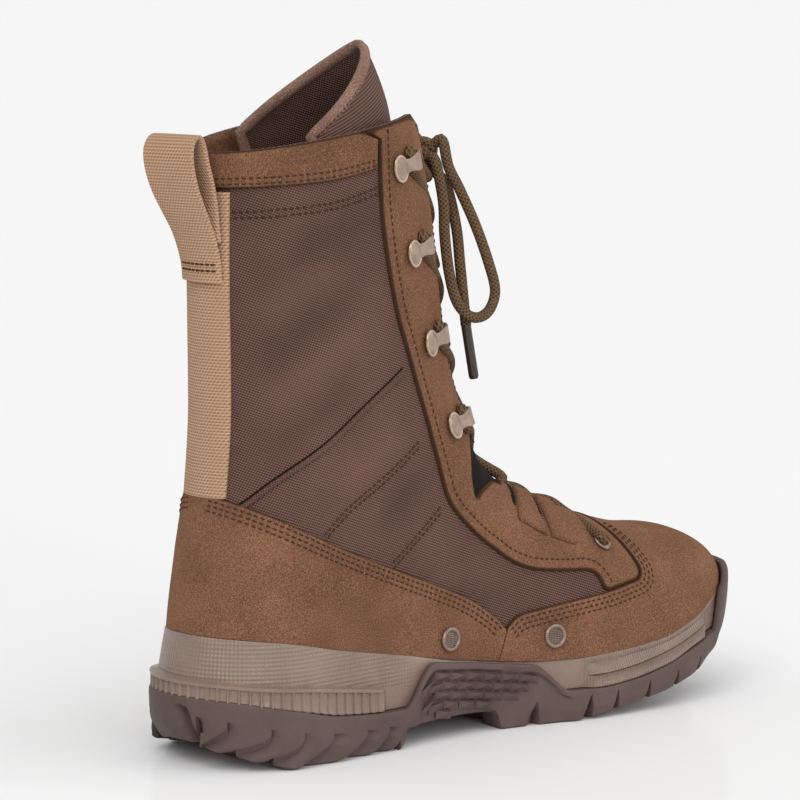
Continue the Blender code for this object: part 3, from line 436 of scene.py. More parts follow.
class Look:
    """Makes a material's nodes with few words."""

    def __init__(self, name, colour, roughness, metallic=0.0):
        self.material = bpy.data.materials.new(name)
        self.material.use_nodes = True
        self.tree = self.material.node_tree
        self.shader = self.tree.nodes["Principled BSDF"]
        self.set("Base Color", (*colour, 1.0))
        self.set("Roughness", roughness)
        self.set("Metallic", metallic)

    def set(self, socket, value):
        self.shader.inputs[socket].default_value = value

    def node(self, kind, **values):
        made = self.tree.nodes.new(kind)
        for key, value in values.items():
            setattr(made, key, value)
        return made

    def link(self, start, end):
        self.tree.links.new(start, end)

    def math(self, operation, first, second=0.0):
        made = self.node("ShaderNodeMath", operation=operation)
        for k, value in enumerate((first, second)):
            if isinstance(value, (int, float)):
                made.inputs[k].default_value = value
            else:
                self.link(value, made.inputs[k])
        return made.outputs[0]

    def coords(self, kind):
        return self.node("ShaderNodeTexCoord").outputs[kind]

    def noise(self, scale, detail=3.0):
        made = self.node("ShaderNodeTexNoise")
        made.inputs["Scale"].default_value = scale
        made.inputs["Detail"].default_value = detail
        self.link(self.coords("Object"), made.inputs["Vector"])
        return made.outputs["Fac"]

    def between(self, value, low, high, start=0.0, end=1.0):
        made = self.node("ShaderNodeMapRange", clamp=True)
        for k, number in enumerate((low, high, start, end), start=1):
            made.inputs[k].default_value = number
        self.link(value, made.inputs[0])
        return made.outputs[0]

    def attribute(self, name):
        return self.node("ShaderNodeAttribute", attribute_name=name).outputs["Fac"]

    def waves(self, u_pitch, v_pitch):
        """A sine over the UV map, whose unit is a millimetre; a pitch of 0 leaves that direction out."""
        split = self.node("ShaderNodeSeparateXYZ")
        self.link(self.coords("UV"), split.inputs[0])
        total = None
        for pitch, output in ((u_pitch, split.outputs[0]), (v_pitch, split.outputs[1])):
            if pitch:
                part = self.math("MULTIPLY", output, 2 * math.pi / pitch)
                total = part if total is None else self.math("ADD", total, part)
        return self.math("SINE", total)

    def mix(self, factor, first, second):
        made = self.node("ShaderNodeMix", data_type="RGBA", clamp_factor=True)
        for socket, value in ((made.inputs[0], factor), (made.inputs[6], first), (made.inputs[7], second)):
            if isinstance(value, tuple):
                socket.default_value = (*value, 1.0)
            elif isinstance(value, (int, float)):
                socket.default_value = value
            else:
                self.link(value, socket)
        return made.outputs[2]

    def colour(self, output):
        self.link(output, self.shader.inputs["Base Color"])

    def rough(self, output):
        self.link(output, self.shader.inputs["Roughness"])

    def bump(self, height, distance, strength=1.0):
        made = self.node("ShaderNodeBump")
        made.inputs["Strength"].default_value = strength
        made.inputs["Distance"].default_value = distance
        self.link(height, made.inputs["Height"])
        previous = self.shader.inputs["Normal"].links
        if previous:
            self.link(previous[0].from_socket, made.inputs["Normal"])
        self.link(made.outputs[0], self.shader.inputs["Normal"])


def shade(colour, factor):
    return tuple(min(channel * factor, 1.0) for channel in colour)


def suede_look(name, colour):
    look = Look(name, colour, 0.95)
    nap = look.between(look.noise(38, 5.0), 0.32, 0.68)
    base = look.mix(nap, shade(colour, 0.68), shade(colour, 1.2))
    grain = look.noise(1900, 2.0)
    base = look.mix(look.between(grain, 0.38, 0.52, 0.75, 0.0), base, shade(colour, 0.48))
    base = look.mix(look.between(grain, 0.52, 0.68, 0.0, 0.7), base, shade(colour, 1.75))
    # Darker towards the edge: within a small width of an overlay's edge the colour goes almost black.
    edge = look.between(look.attribute("edge"), 0.9, 1.9, 0.92, 0.0)
    look.colour(look.mix(edge, base, shade(colour, 0.16)))
    look.set("Sheen Weight", 0.25)
    look.set("Sheen Roughness", 0.5)
    look.set("Sheen Tint", (*shade(colour, 2.2), 1.0))
    look.set("Specular IOR Level", 0.12)
    look.bump(grain, 0.0005, 0.8)
    look.bump(look.noise(160, 4.0), 0.0007, 0.5)
    return look.material


def nylon_look(name, colour):
    look = Look(name, colour, 0.68)
    ribs = look.waves(-3.0, 1.05)
    yarn = look.waves(-1.15, -2.4)
    weave = look.math("ADD", look.math("MULTIPLY", ribs, 0.6), look.math("MULTIPLY", yarn, 0.4))
    light = look.between(weave, -0.75, 0.85)
    tone = look.between(look.noise(22, 3.0), 0.3, 0.7)
    dark = look.mix(tone, shade(colour, 0.16), shade(colour, 0.34))
    pale = look.mix(tone, shade(colour, 1.5), shade(colour, 2.1))
    cloth = look.mix(light, dark, pale)
    # Painted highlight on the folds' ridges and painted shade in their troughs, from the fold height stored
    # on the upper.
    fold = look.attribute("fold")
    cloth = look.mix(look.between(fold, 0.0, 1.6, 0.0, 0.2), cloth, shade(colour, 2.3))
    look.colour(look.mix(look.between(fold, -1.5, 0.0, 0.28, 0.0), cloth, shade(colour, 0.3)))
    look.rough(look.between(light, 0.0, 1.0, 0.82, 0.55))
    look.set("Specular IOR Level", 0.25)
    look.bump(weave, 0.0003, 0.8)
    return look.material


def webbing_look(name, colour):
    look = Look(name, colour, 0.85)
    weft = look.waves(0.0, 1.25)
    warp = look.waves(1.5, 2.5)
    weave = look.math("ADD", look.math("MULTIPLY", weft, 0.6), look.math("MULTIPLY", warp, 0.4))
    light = look.between(weave, -0.7, 0.8)
    tone = look.between(look.noise(60, 3.0), 0.3, 0.7, 0.0, 0.4)
    base = look.mix(light, shade(colour, 0.55), shade(colour, 1.2))
    look.colour(look.mix(tone, base, shade(colour, 0.75)))
    look.set("Specular IOR Level", 0.2)
    look.bump(weave, 0.00035, 0.9)
    return look.material


def rubber_look(name, colour, roughness, grid=False):
    look = Look(name, colour, roughness)
    tone = look.between(look.noise(45, 4.0), 0.3, 0.7)
    base = look.mix(tone, shade(colour, 0.84), shade(colour, 1.14))
    dust = look.between(look.noise(700, 3.0), 0.55, 0.8, 0.0, 0.16)
    look.colour(look.mix(dust, base, shade(colour, 1.7)))
    look.rough(look.between(look.noise(120, 4.0), 0.3, 0.7, roughness - 0.07, roughness + 0.1))
    look.bump(look.noise(900, 3.0), 0.00012, 0.5)
    if grid:
        cells = look.math("ADD", look.waves(1.7, 0.0), look.waves(0.0, 1.7))
        look.bump(look.math("MULTIPLY", cells, look.attribute("cells")), 0.00012, 0.8)
        lines = look.math("MULTIPLY", look.waves(1.3, 0.0), look.attribute("lines"))
        look.set("Specular IOR Level", 0.6)
        look.bump(lines, 0.00022, 0.9)
    return look.material


def metal_look(name, colour, roughness=0.34):
    look = Look(name, colour, roughness, 0.55)
    tone = look.between(look.noise(300, 3.0), 0.3, 0.7)
    look.colour(look.mix(tone, shade(colour, 0.82), shade(colour, 1.2)))
    look.rough(look.between(look.noise(500, 2.0), 0.3, 0.7, roughness - 0.08, roughness + 0.1))
    look.set("Coat Weight", 0.2)
    look.set("Coat Roughness", 0.3)
    return look.material


# UV once round a cord, and the strands of its braid that run each way.
ROUND_UV, BRAID_STRANDS = 10, 6


def lace_look(name, colour):
    """Round braid: the UV map runs along the cord in millimetres, and once round it in ROUND_UV."""
    look = Look(name, colour, 0.82)
    strand = ROUND_UV / BRAID_STRANDS
    left, right = look.waves(1.9, strand), look.waves(1.9, -strand)
    braid = look.math("MAXIMUM", left, right)
    crossing = look.math("MULTIPLY", left, right)
    base = look.mix(look.between(braid, -0.3, 0.95), shade(colour, 0.45), shade(colour, 1.1))
    speck = look.between(look.noise(420, 2.0), 0.52, 0.64)
    fleck = look.math("MULTIPLY", look.between(crossing, 0.3, 0.8), speck)
    look.colour(look.mix(fleck, base, shade(colour, 2.0)))
    look.set("Specular IOR Level", 0.2)
    look.bump(braid, 0.0004, 0.9)
    return look.material


# Shine of plain finishes: of matt ones, which are rougher than the limit, and of the others.
MATT_FROM, MATT_SHINE, SMOOTH_SHINE = 0.7, 0.12, 0.5


def plain_look(name, colour, roughness, grain=900):
    look = Look(name, colour, roughness)
    tone = look.between(look.noise(grain, 3.0), 0.3, 0.7)
    look.colour(look.mix(tone, shade(colour, 0.8), shade(colour, 1.2)))
    look.set("Specular IOR Level", MATT_SHINE if roughness > MATT_FROM else SMOOTH_SHINE)
    look.bump(look.noise(grain, 3.0), 0.0002, 0.5)
    return look.material


AGLET_COLOUR = (0.035, 0.022, 0.02)
LOOKS = {}


def look_of(name):
    """The scene's material of that name, made from the add-on's colours on first use."""
    colours = bpy.context.scene.boot_colours
    makers = {
        "suede": lambda: suede_look("suede", tuple(colours.suede)),
        "nylon": lambda: nylon_look("nylon", tuple(colours.nylon)),
        "tongue": lambda: nylon_look("tongue_twill", shade(tuple(colours.nylon), 0.95)),
        "webbing": lambda: webbing_look("webbing", tuple(colours.webbing)),
        "rubber": lambda: rubber_look("rubber", tuple(colours.rubber), 0.66),
        "midsole": lambda: rubber_look("midsole", tuple(colours.midsole), 0.32, True),
        "metal": lambda: metal_look("metal", tuple(colours.metal)),
        # A 1.5 times lighter, smoother copy of the metal for the rivets' rims: the lighter colour is a
        # painted highlight.
        "rim_highlight": lambda: metal_look("rim_highlight_metal", shade(tuple(colours.metal), 1.5), 0.25),
        "ring": lambda: metal_look("ring", shade(tuple(colours.metal), 0.75), 0.3),
        "lace": lambda: lace_look("lace", tuple(colours.lace)),
        "lining": lambda: plain_look("lining", tuple(colours.lining), 0.9),
        # Near-black copy of the lining: painted shade in the notch, in the slots under the strips and in the
        # crease over the piping.
        "painted_shade": lambda: plain_look("painted_shade", shade(tuple(colours.lining), 0.25), 0.95),
        "mesh": lambda: plain_look("vent_mesh", shade(tuple(colours.lining), 1.1), 0.6, 2200),
        "thread": lambda: plain_look("thread", tuple(colours.thread), 0.8, 3000),
        "binding": lambda: suede_look("binding", tuple(colours.binding)),
        "aglet": lambda: plain_look("aglet", AGLET_COLOUR, 0.22, 200),
    }
    if name not in LOOKS:
        LOOKS[name] = makers[name]()
    return LOOKS[name]


# Distance from an edge that counts as far, for points that have none near.
FAR = 9.0
# Points nearer than this in metres become one.
MERGE = 2e-6


class Mesh:
    """Points and faces in millimetres, gathered for one piece, with a UV and a few values at each point."""

    def __init__(self):
        self.points, self.faces, self.uvs, self.slots = [], [], [], []
        self.values = {"edge": [], "cells": [], "lines": [], "fold": []}
        self.count = 0

    def add(self, points, faces, slot=0, uv=None, **values):
        points = np.asarray(points, float).reshape(-1, 3)
        self.points.append(points)
        self.faces += [[k + self.count for k in face] for face in faces]
        self.slots += [slot] * len(faces)
        self.uvs.append(np.zeros((len(points), 2)) if uv is None else np.asarray(uv, float).reshape(-1, 2))
        for key in self.values:
            default = FAR if key == "edge" else 0.0
            self.values[key].append(np.broadcast_to(np.asarray(values.get(key, default), float), len(points)))
        self.count += len(points)

    def close(self, line, shift):
        """Adds faces from a line of points to the same line in the other layer, a shift further on."""
        line = line.tolist()
        self.faces += [[a, b, b + shift, a + shift] for a, b in zip(line, line[1:])]
        self.slots += [0] * (len(line) - 1)

    def make(self, name, materials, slot, *nodes, sharp=None):
        """The piece itself, in the part's frame, riding on its one body."""
        mesh = bpy.data.meshes.new(name)
        points = (np.concatenate(self.points) + ORIGIN_SHIFT) * MM
        mesh.from_pydata(points.tolist(), [], self.faces)
        mesh.polygons.foreach_set("material_index", self.slots)
        mesh.polygons.foreach_set("use_smooth", [True] * len(self.faces))
        corner = np.zeros(len(mesh.loops), int)
        mesh.loops.foreach_get("vertex_index", corner)
        layer = mesh.uv_layers.new(name="UVMap")
        layer.data.foreach_set("uv", np.concatenate(self.uvs)[corner].ravel())
        for key, parts in self.values.items():
            held = mesh.attributes.new(key, "FLOAT", "POINT")
            held.data.foreach_set("value", np.concatenate(parts).astype(np.float32))
        form = bmesh.new()
        form.from_mesh(mesh)
        bmesh.ops.remove_doubles(form, verts=form.verts, dist=MERGE)
        form.to_mesh(mesh)
        form.free()
        if sharp is not None:
            mesh.set_sharp_from_angle(angle=math.radians(sharp))
        for material in materials:
            mesh.materials.append(look_of(material))
        obj = bpy.data.objects.new(name, mesh)
        bpy.context.scene.collection.objects.link(obj)
        return settle(obj, nodes)


def settle(obj, nodes):
    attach(obj, "root")
    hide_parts(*nodes)
    return obj


def strip_faces(rows, columns, closed=False):
    """Quads of a grid of points, row by row."""
    faces = []
    last = columns if closed else columns - 1
    for low in range(0, (rows - 1) * columns, columns):
        high = low + columns
        for j in range(last):
            after = (j + 1) % columns
            faces.append([low + j, low + after, high + after, high + j])
    return faces


# A direction that no cord runs along where it starts.
ASIDE = (0.31, 0.12, 0.94)


def tube(mesh, path, radius, slot=0, sides=10, flat=1.0, across=None, caps=True):
    """Adds a cord along a path. Its UV runs along it in millimetres, and once round it in ROUND_UV."""
    path = np.asarray(path, float)
    run = unit(np.gradient(path, axis=0))
    radius = np.broadcast_to(radius, len(path))
    side = np.cross(run[0], ASIDE) if across is None else None
    along = lengths(path)
    points, uv = [], []
    turn = np.linspace(0, 2 * math.pi, sides + 1)
    for k in range(len(path)):
        side = side if across is None else np.asarray(across[k], float)
        side = side - run[k] * side.dot(run[k])
        side /= np.linalg.norm(side)
        up = np.cross(run[k], side)
        ring = np.cos(turn)[:, None] * side + flat * np.sin(turn)[:, None] * up
        points.append(path[k] + radius[k] * ring)
        uv.append(np.column_stack([np.full(sides + 1, along[k]), turn / (2 * math.pi) * ROUND_UV]))
    faces = strip_faces(len(path), sides + 1)
    if caps:
        faces.append(list(range(sides))[::-1])
        start = (len(path) - 1) * (sides + 1)
        faces.append([start + k for k in range(sides)])
    mesh.add(np.concatenate(points), faces, slot, np.concatenate(uv))


# Rings along a stitch: place as a share of its length, rise, and share of its radius.
STITCH_RINGS = [(-0.5, -0.16, 0.6), (-0.25, 0.12, 1.0), (0.25, 0.12, 1.0), (0.5, -0.16, 0.6)]
STITCH_SIDES = 5


def stitches(mesh, path, normal, slot, pitch=2.9, length=2.0, radius=0.36):
    """Adds a row of stitches along a path, each a short bent thread that dives in at both ends."""
    path = np.asarray(path, float)
    along = lengths(path)
    marks = np.arange(pitch / 2, along[-1] - pitch / 2, pitch)
    if not len(marks):
        return
    spot = np.column_stack([np.interp(marks, along, path[:, k]) for k in range(3)])
    up = np.column_stack([np.interp(marks, along, normal[:, k]) for k in range(3)])
    run = np.column_stack([np.interp(marks, along, np.gradient(path[:, k], along)) for k in range(3)])
    run = unit(run)
    up = unit(up - run * np.sum(up * run, 1, keepdims=True))
    side = np.cross(run, up)
    turn = np.linspace(0, 2 * math.pi, STITCH_SIDES + 1)[:-1]
    rings = []
    for step, rise, thick in STITCH_RINGS:
        middle = spot + run * step * length + up * rise
        for angle in turn:
            rings.append(middle + radius * thick * (math.cos(angle) * side + math.sin(angle) * up))
    points = np.stack(rings, 1).reshape(-1, 3)
    one = np.array(strip_faces(len(STITCH_RINGS), STITCH_SIDES, True))
    faces = np.concatenate([one + k * len(rings) for k in range(len(marks))]).tolist()
    mesh.add(points, faces, slot)


def inside(outline, x, z):
    """Whether side-view points lie in an outline."""
    outline = np.asarray(outline, float)
    found = np.zeros(np.shape(x), bool)
    for (x0, z0), (x1, z1) in zip(outline, np.roll(outline, -1, axis=0)):
        if z0 != z1:
            crosses = ((z0 > z) != (z1 > z)) & (x < x0 + (z - z0) * (x1 - x0) / (z1 - z0))
            found ^= crosses
    return found


def split_faces(data, faces, level):
    """Cuts faces along a level of their corners' last value, and gives the parts below and above it."""
    value = data[:, -1] - level
    extra, made, low, high = [], {}, [], []
    for face in faces:
        above = [value[k] > 0 for k in face]
        if all(above):
            high.append(face)
            continue
        if not any(above):
            low.append(face)
            continue
        parts = ([], [])
        for a, b in zip(face, face[1:] + face[:1]):
            parts[value[a] > 0].append(a)
            if (value[a] > 0) != (value[b] > 0):
                key = (min(a, b), max(a, b))
                if key not in made:
                    made[key] = len(data) + len(extra)
                    extra.append(data[a] + (data[b] - data[a]) * value[a] / (value[a] - value[b]))
                parts[0].append(made[key])
                parts[1].append(made[key])
        low.append(parts[0])
        high.append(parts[1])
    return (np.vstack([data, extra]) if extra else data), low, high


def surface_line(points, side, step=0.3):
    """A side-view line laid on the upper, without what lies off it, and its normals."""
    line = resample(points, step)
    kept = on_upper(line[:, 0], line[:, 1], side)
    return skin(line[kept, 0], line[kept, 1], side)


def on_upper(x, z, side):
    """Whether side-view points lie on the upper, below its collar."""
    collar = GRID[-1, GRID_COLUMNS::-1]
    return (squared_half_width(x, z, side) > 0.5) & (z < np.interp(x, collar[:, 0], collar[:, 2]) + 0.5)


def inset_line(points, side, inset, outline):
    """A line on the upper at a distance inside an outline's edge."""
    point, normal = surface_line(points, side, 1.0)
    inward = np.cross(normal, unit(np.gradient(point, axis=0)))
    middle = len(point) // 2
    test = point[middle] + inward[middle] * 2.0
    if not inside(outline, test[0], test[2]):
        inward = -inward
    moved = point + inward * inset
    kept = on_upper(moved[:, 0], moved[:, 2] + 1.5, side)
    return skin(moved[kept, 0], moved[kept, 2], side)


def border_lines():
    """The upper's throat edges and its collar, as points."""
    above = int(np.argmax(ROWS.read("gap", grid_rows()) > 0))
    lines = [GRID[above:, 0, :3], GRID[above:, -1, :3], GRID[-1, :, :3]]
    return np.concatenate([resample(line, 0.5) for line in lines])


# How far in from its edge a layer of suede is rounded, and the shares of that way where its faces are cut.
EDGE_ROUND, ROUND_CUTS = 1.3, (0.18, 0.5, 1.0)


def overlay(mesh, outline, low, thick, sides=(MEDIAL, LATERAL), borders=False, slot=0, dark_rim_width=0.55):
    """Adds a layer over the upper inside a side-view outline, with a rounded edge, its colour darkening
    towards the rim.
    """
    data = GRID.reshape(-1, GRID.shape[-1])
    x, y, z = data[:, 0], data[:, 1], data[:, 2]
    within = inside(outline, x, z)
    if len(sides) == 1:
        within &= (y - camber(x)) * sides[0] > 0.3
    closed = [*outline, outline[0]]
    rim = [surface_line(closed, side)[0] for side in sides]
    if borders:
        rim.append(border_lines())
    rim = np.concatenate(rim)
    tree = KDTree(len(rim))
    for k, point in enumerate(rim):
        tree.insert(point, k)
    tree.balance()
    near = np.zeros(len(data), bool)
    touched = GRID_FACES[within[GRID_FACES].any(1)]
    near[touched.ravel()] = True
    distance = np.full(len(data), -5.0)
    for k in np.nonzero(near)[0]:
        distance[k] = tree.find(data[k, :3])[2]
    distance = np.where(within, distance, -np.abs(distance))
    index = np.full(len(data), -1)
    index[near] = np.arange(near.sum())
    kept = np.column_stack([data[near], distance[near]])
    faces = index[touched].tolist()
    kept, _, faces = split_faces(kept, faces, 0.0)
    for share in ROUND_CUTS:
        kept, under, over = split_faces(kept, faces, share * EDGE_ROUND)
        faces = under + over
    used = np.unique([k for face in faces for k in face])
    order = np.full(len(kept), -1)
    order[used] = np.arange(len(used))
    kept = kept[used]
    away = np.clip(kept[:, -1] / EDGE_ROUND, 0, 1)
    height = low + thick * np.sqrt(1 - (1 - away) ** 2) + fold_height(kept[:, :3])
    mesh.add(kept[:, :3] + height[:, None] * kept[:, 3:6], [[order[k] for k in face] for face in faces], slot,
             kept[:, 6:8], edge=kept[:, -1] / dark_rim_width)


def sewn_rows(mesh, line, outline, insets, lift, sides=(MEDIAL, LATERAL)):
    """Adds rows of stitches along an overlay's edge, in its second material."""
    for side in sides:
        for inset in insets:
            point, normal = inset_line(line, side, inset, outline)
            height = lift + fold_height(point)
            stitches(mesh, point + normal * height[:, None], normal, 1)


# How far the overlays run down below the feather line.
HEM = 3.0


def hem_line(start, end):
    return [(x, float(feather(x)) - HEM) for x in np.linspace(start, end, 40)]


# Piped seam: radius of its cord, and the dark line beside it as a radius and a shift in x and z; that line is
# a thin near-black cord, painted shade of the crease above the piping.
PIPING = {"radius": 1.2, "rise": 0.3, "line": 0.4, "shift": (-0.8, 1.2)}
# Half the distance between the two rows of a sewn seam.
SEAM_HALF = 1.3


class BOOT_OT_upper(Operator):
    """Nylon wall of the upper, with its soft folds, its seams and its lining"""
    bl_idname = "boot.upper"
    bl_label = "Upper"

    def execute(self, context):
        mesh = Mesh()
        base, normal = GRID[..., :3], GRID[..., 3:6]
        lift = fold_height(base)
        outer = base + normal * lift[..., None]
        inner = base + normal * (lift - WALL)[..., None]
        faces = GRID_FACES.tolist()
        # The notch is not cut open: its faces take the near-black material, painted shade standing in for the
        # dark opening.
        notch = inside(smooth_line(NOTCH), base[..., 0], base[..., 2]).ravel()
        dark = notch[GRID_FACES].any(1)
        faced = base[..., 2].ravel()[GRID_FACES].min(1) > FACING_FROM
        # The fold height is stored so that the nylon can paint highlight on the ridges and shade in the
        # troughs.
        mesh.add(outer, faces, 0, GRID[..., 6:8], fold=lift.ravel())
        mesh.add(inner, [face[::-1] for face in faces], 4, GRID[..., 6:8])
        mesh.slots = np.concatenate([np.where(dark, 1, 0), np.where(faced, 3, 4)]).tolist()
        for line in (CORNERS[-1], CORNERS[::-1, 0], CORNERS[:, -1]):
            mesh.close(line, CORNERS.size)
        for side in SIDES.values():
            point, up = surface_line(smooth_line(PIPED_SEAM), side, 2.0)
            tube(mesh, point + up * (fold_height(point) + PIPING["rise"])[:, None], PIPING["radius"], 0, 8)
            # Painted shade: a thin near-black cord beside the piping stands in for the shadow of the crease
            # above it.
            point, up = surface_line(smooth_line(PIPED_SEAM) + np.array(PIPING["shift"]), side, 2.0)
            tube(mesh, point + up * fold_height(point)[:, None], PIPING["line"], 1, 6)
            for line in SEWN_SEAMS + [CUFF_LINE]:
                for across in (-SEAM_HALF, SEAM_HALF):
                    point, up = surface_line(smooth_line(line) + np.array([0, across]), side, 1.5)
                    stitches(mesh, point + up * (fold_height(point) + 0.1)[:, None], up, 2)
        mesh.make("nylon_upper", ["nylon", "painted_shade", "thread", "suede", "lining"], "nylon", "upper")
        return {"FINISHED"}


# Rows of stitches, as distances in from the edge that they follow.
SEWN_IN = {"counter": (2.2, 4.3, 6.4), "vamp": (2.2, 4.3, 6.4), "eyestay": (5.0,), "cuff": (1.9, 4.2)}
# Seam beside the throat above the notch: rows of the upper that it starts and ends on, and its inset.
THROAT_SEAM = {"rows": (10.2, 14.9), "inset": 4.8}


class BOOT_OT_overlays(Operator):
    """Suede counter, vamp, eyestays, cuff and lace strips, cut from layers over the upper and sewn on"""
    bl_idname = "boot.overlays"
    bl_label = "Suede pieces"

    def execute(self, context):
        thick = context.scene.boot_sizes.suede / MM
        counter_edge, vamp_edge = smooth_line(COUNTER_EDGE), smooth_line(VAMP_EDGE)
        rear_edge, cuff_edge = smooth_line(EYESTAY_EDGE), smooth_line(CUFF_EDGE)
        counter = [*counter_edge, (3, 43), *hem_line(-2.5, -160)]
        vamp = [*vamp_edge, (73, 130), (160, 130), *hem_line(160, -4.4)]
        meets = [(x, z) for x, z in vamp_edge if x > 54]
        eyestay = [*rear_edge, *meets, (73, 130), (30, 130), *smooth_line(NOTCH), (40, 150), (40, 275)]
        cuff = [*cuff_edge, (-69.6, 251), (-69.6, 275), (-160, 275)]

        mesh = Mesh()
        overlay(mesh, counter, -0.1, thick + 0.1)
        sewn_rows(mesh, counter_edge, counter, SEWN_IN["counter"], thick)
        mesh.make("suede_counter", ["suede", "thread"], "suede", "heel_counter")

        mesh = Mesh()
        overlay(mesh, vamp, -0.1, thick + 0.5)
        sewn_rows(mesh, vamp_edge, vamp, SEWN_IN["vamp"], thick + 0.4)
        mesh.make("suede_vamp", ["suede", "thread"], "suede", "vamp")

        for name, side in SIDES.items():
            mesh = Mesh()
            overlay(mesh, eyestay, -0.1, thick - 0.2, (side,), True, dark_rim_width=0.95)
            sewn_rows(mesh, rear_edge, eyestay, SEWN_IN["eyestay"], thick - 0.3, (side,))
            # Painted shade: a thin near-black layer in each slot stands in for the gap under the strip.
            for outline in SLOTS:
                overlay(mesh, outline, thick - 0.4, 0.2, (side,), slot=2)
            point, up = self.throat_row(side)
            stitches(mesh, point + up * (thick - 0.4), up, 1)
            mesh.make(f"suede_eyestay_{name}", ["suede", "thread", "painted_shade"], "suede", f"eyestay_{name}")
            for strip, outline in STRIPS.items():
                mesh = Mesh()
                overlay(mesh, outline, 0.6, 2.6, (side,), True, dark_rim_width=0.12)
                mesh.make(f"suede_strip_{strip}_{name}", ["suede"], "suede", f"lace_strip_{strip}_{name}")

        mesh = Mesh()
        overlay(mesh, cuff, -0.1, thick + 0.1, borders=True)
        sewn_rows(mesh, cuff_edge, cuff, SEWN_IN["cuff"], thick)
        mesh.make("suede_cuff", ["suede", "thread"], "suede", "collar_cuff")
        return {"FINISHED"}

    def throat_row(self, side):
        """A line just behind the throat's edge, above the notch."""
        rows = np.linspace(*THROAT_SEAM["rows"], 90)
        angle = throat_angle(rows, side, ROWS.read("gap", rows) + THROAT_SEAM["inset"])
        return skin(*row_line(rows, angle), side)


TAPE_FROM, TAPE_TOP = 109.0, 232.5
# Pull loop in the side view: the outer strand, the fold at its top and the inner strand, as x and z.
LOOP = [
    (-135.4, 196), (-136.2, 204), (-138.8, 215), (-142.5, 224), (-146, 232.5), (-148.3, 241),
    (-148.9, 248.5), (-147, 253.2), (-143.6, 254), (-141, 250.5), (-138.8, 243), (-136.4, 235.5),
    (-135.3, 227), (-135.3, 212),
]
LOOP_SKEW = 2.8
# The loop follows the back's curve where it is sewn on, and less and less over a height above its foot.
LOOP_SEAT = {"z": 205.0, "foot_z": 200.0, "over": 45.0, "narrower": 0.5}
# Rows of stitches across the loop's foot, as lengths from its start.
LOOP_SEAMS = (4.6, 7.2)
# Across the webbing: share of its half width, and height.
TAPE_PROFILE = [
    (-1, 0.0), (-1, 1.1), (-0.97, 1.7), (-0.9, 1.9), (-0.6, 1.9), (-0.3, 1.9), (0, 1.9), (0.3, 1.9),
    (0.6, 1.9), (0.9, 1.9), (0.97, 1.7), (1, 1.1), (1, 0.0),
]
BAND_PROFILE = [
    (-1, 0.4), (-0.96, 1.0), (-0.5, 1.0), (0, 1.0), (0.5, 1.0), (0.96, 1.0), (1, 0.4), (1, -0.4),
    (0.96, -1.0), (0.5, -1.0), (0, -1.0), (-0.5, -1.0), (-0.96, -1.0), (-1, -0.4),
]


def back_point(y, z):
    """Points of the upper's back at a distance from its middle, with normals."""
    y, z = np.broadcast_arrays(np.asarray(y, float), np.asarray(z, float))
    half, deep = SHAFT.read("half", z), SHAFT.read("back_round", z)
    back = SHAFT.read("back", z)
    x = back + deep * (1 - np.sqrt(1 - (y / half) ** 2))
    behind = -(1 - (x - back) / deep) * half / deep
    return np.stack([x, y, z], -1), unit(np.stack([behind, y / half, np.zeros_like(y)], -1))


def back_curve(y):
    """How far the back curves forward at distances from its middle, at the loop's seat."""
    return back_point(y, LOOP_SEAT["z"])[0][:, 0] - float(SHAFT.read("back", LOOP_SEAT["z"]))


class BOOT_OT_webbing(Operator):
    """Woven tape up the back of the shaft, and the pull loop folded from the same webbing"""
    bl_idname = "boot.webbing"
    bl_label = "Webbing"

    def execute(self, context):
        half = context.scene.boot_sizes.webbing / MM / 2
        mesh = Mesh()
        heights = np.arange(TAPE_FROM, TAPE_TOP, 1.0)
        profile = np.array(TAPE_PROFILE)
        point, normal = back_point(profile[:, 0] * half, heights[:, None])
        uv = np.stack(np.broadcast_arrays(profile[:, 0] * half, heights[:, None]), -1)
        mesh.add(point + normal * profile[:, 1][None, :, None], strip_faces(*point.shape[:2]), 0, uv)
        mesh.make("tape", ["webbing"], "webbing", "backstay_tape", sharp=50)

        mesh = Mesh()
        half -= LOOP_SEAT["narrower"]
        line = resample(smooth_line(LOOP), 0.9)
        run = np.gradient(line, axis=0)
        across = unit(np.stack([run[:, 1], -run[:, 0]], -1))
        off = np.maximum(line[0, 0] - line[:, 0], 0)
        skew = LOOP_SKEW * off / off.max()
        band = np.array(BAND_PROFILE)
        foot = 1 - ease((line[:, 1] - LOOP_SEAT["foot_z"]) / LOOP_SEAT["over"])
        curve = back_curve(band[:, 0] * half)
        x = line[:, :1] + across[:, :1] * band[:, 1] - skew[:, None] * band[:, 0] + foot[:, None] * curve
        z = line[:, 1:] + across[:, 1:] * band[:, 1]
        point = np.stack([x, np.broadcast_to(band[:, 0] * half, x.shape), z], -1)
        uv = np.stack(np.broadcast_arrays(band[:, 0] * half, lengths(line)[:, None]), -1)
        faces = strip_faces(len(line), len(band), True)
        faces += [list(range(len(band)))[::-1], [(len(line) - 1) * len(band) + k for k in range(len(band))]]
        mesh.add(point, faces, 0, uv)
        y = np.linspace(-half + 1, half - 1, 40)
        for place in LOOP_SEAMS:
            k = int(np.argmin(np.abs(lengths(line) - place)))
            row = np.column_stack([line[k, 0] - 1.05 + back_curve(y), y, np.full(y.shape, line[k, 1])])
            out = np.tile([-1.0, 0, 0], (len(y), 1))
            stitches(mesh, row, out, 1, 2.6, 2.0, 0.4)
        mesh.make("loop_webbing", ["webbing", "thread"], "webbing", "pull_loop", sharp=50)
        return {"FINISHED"}


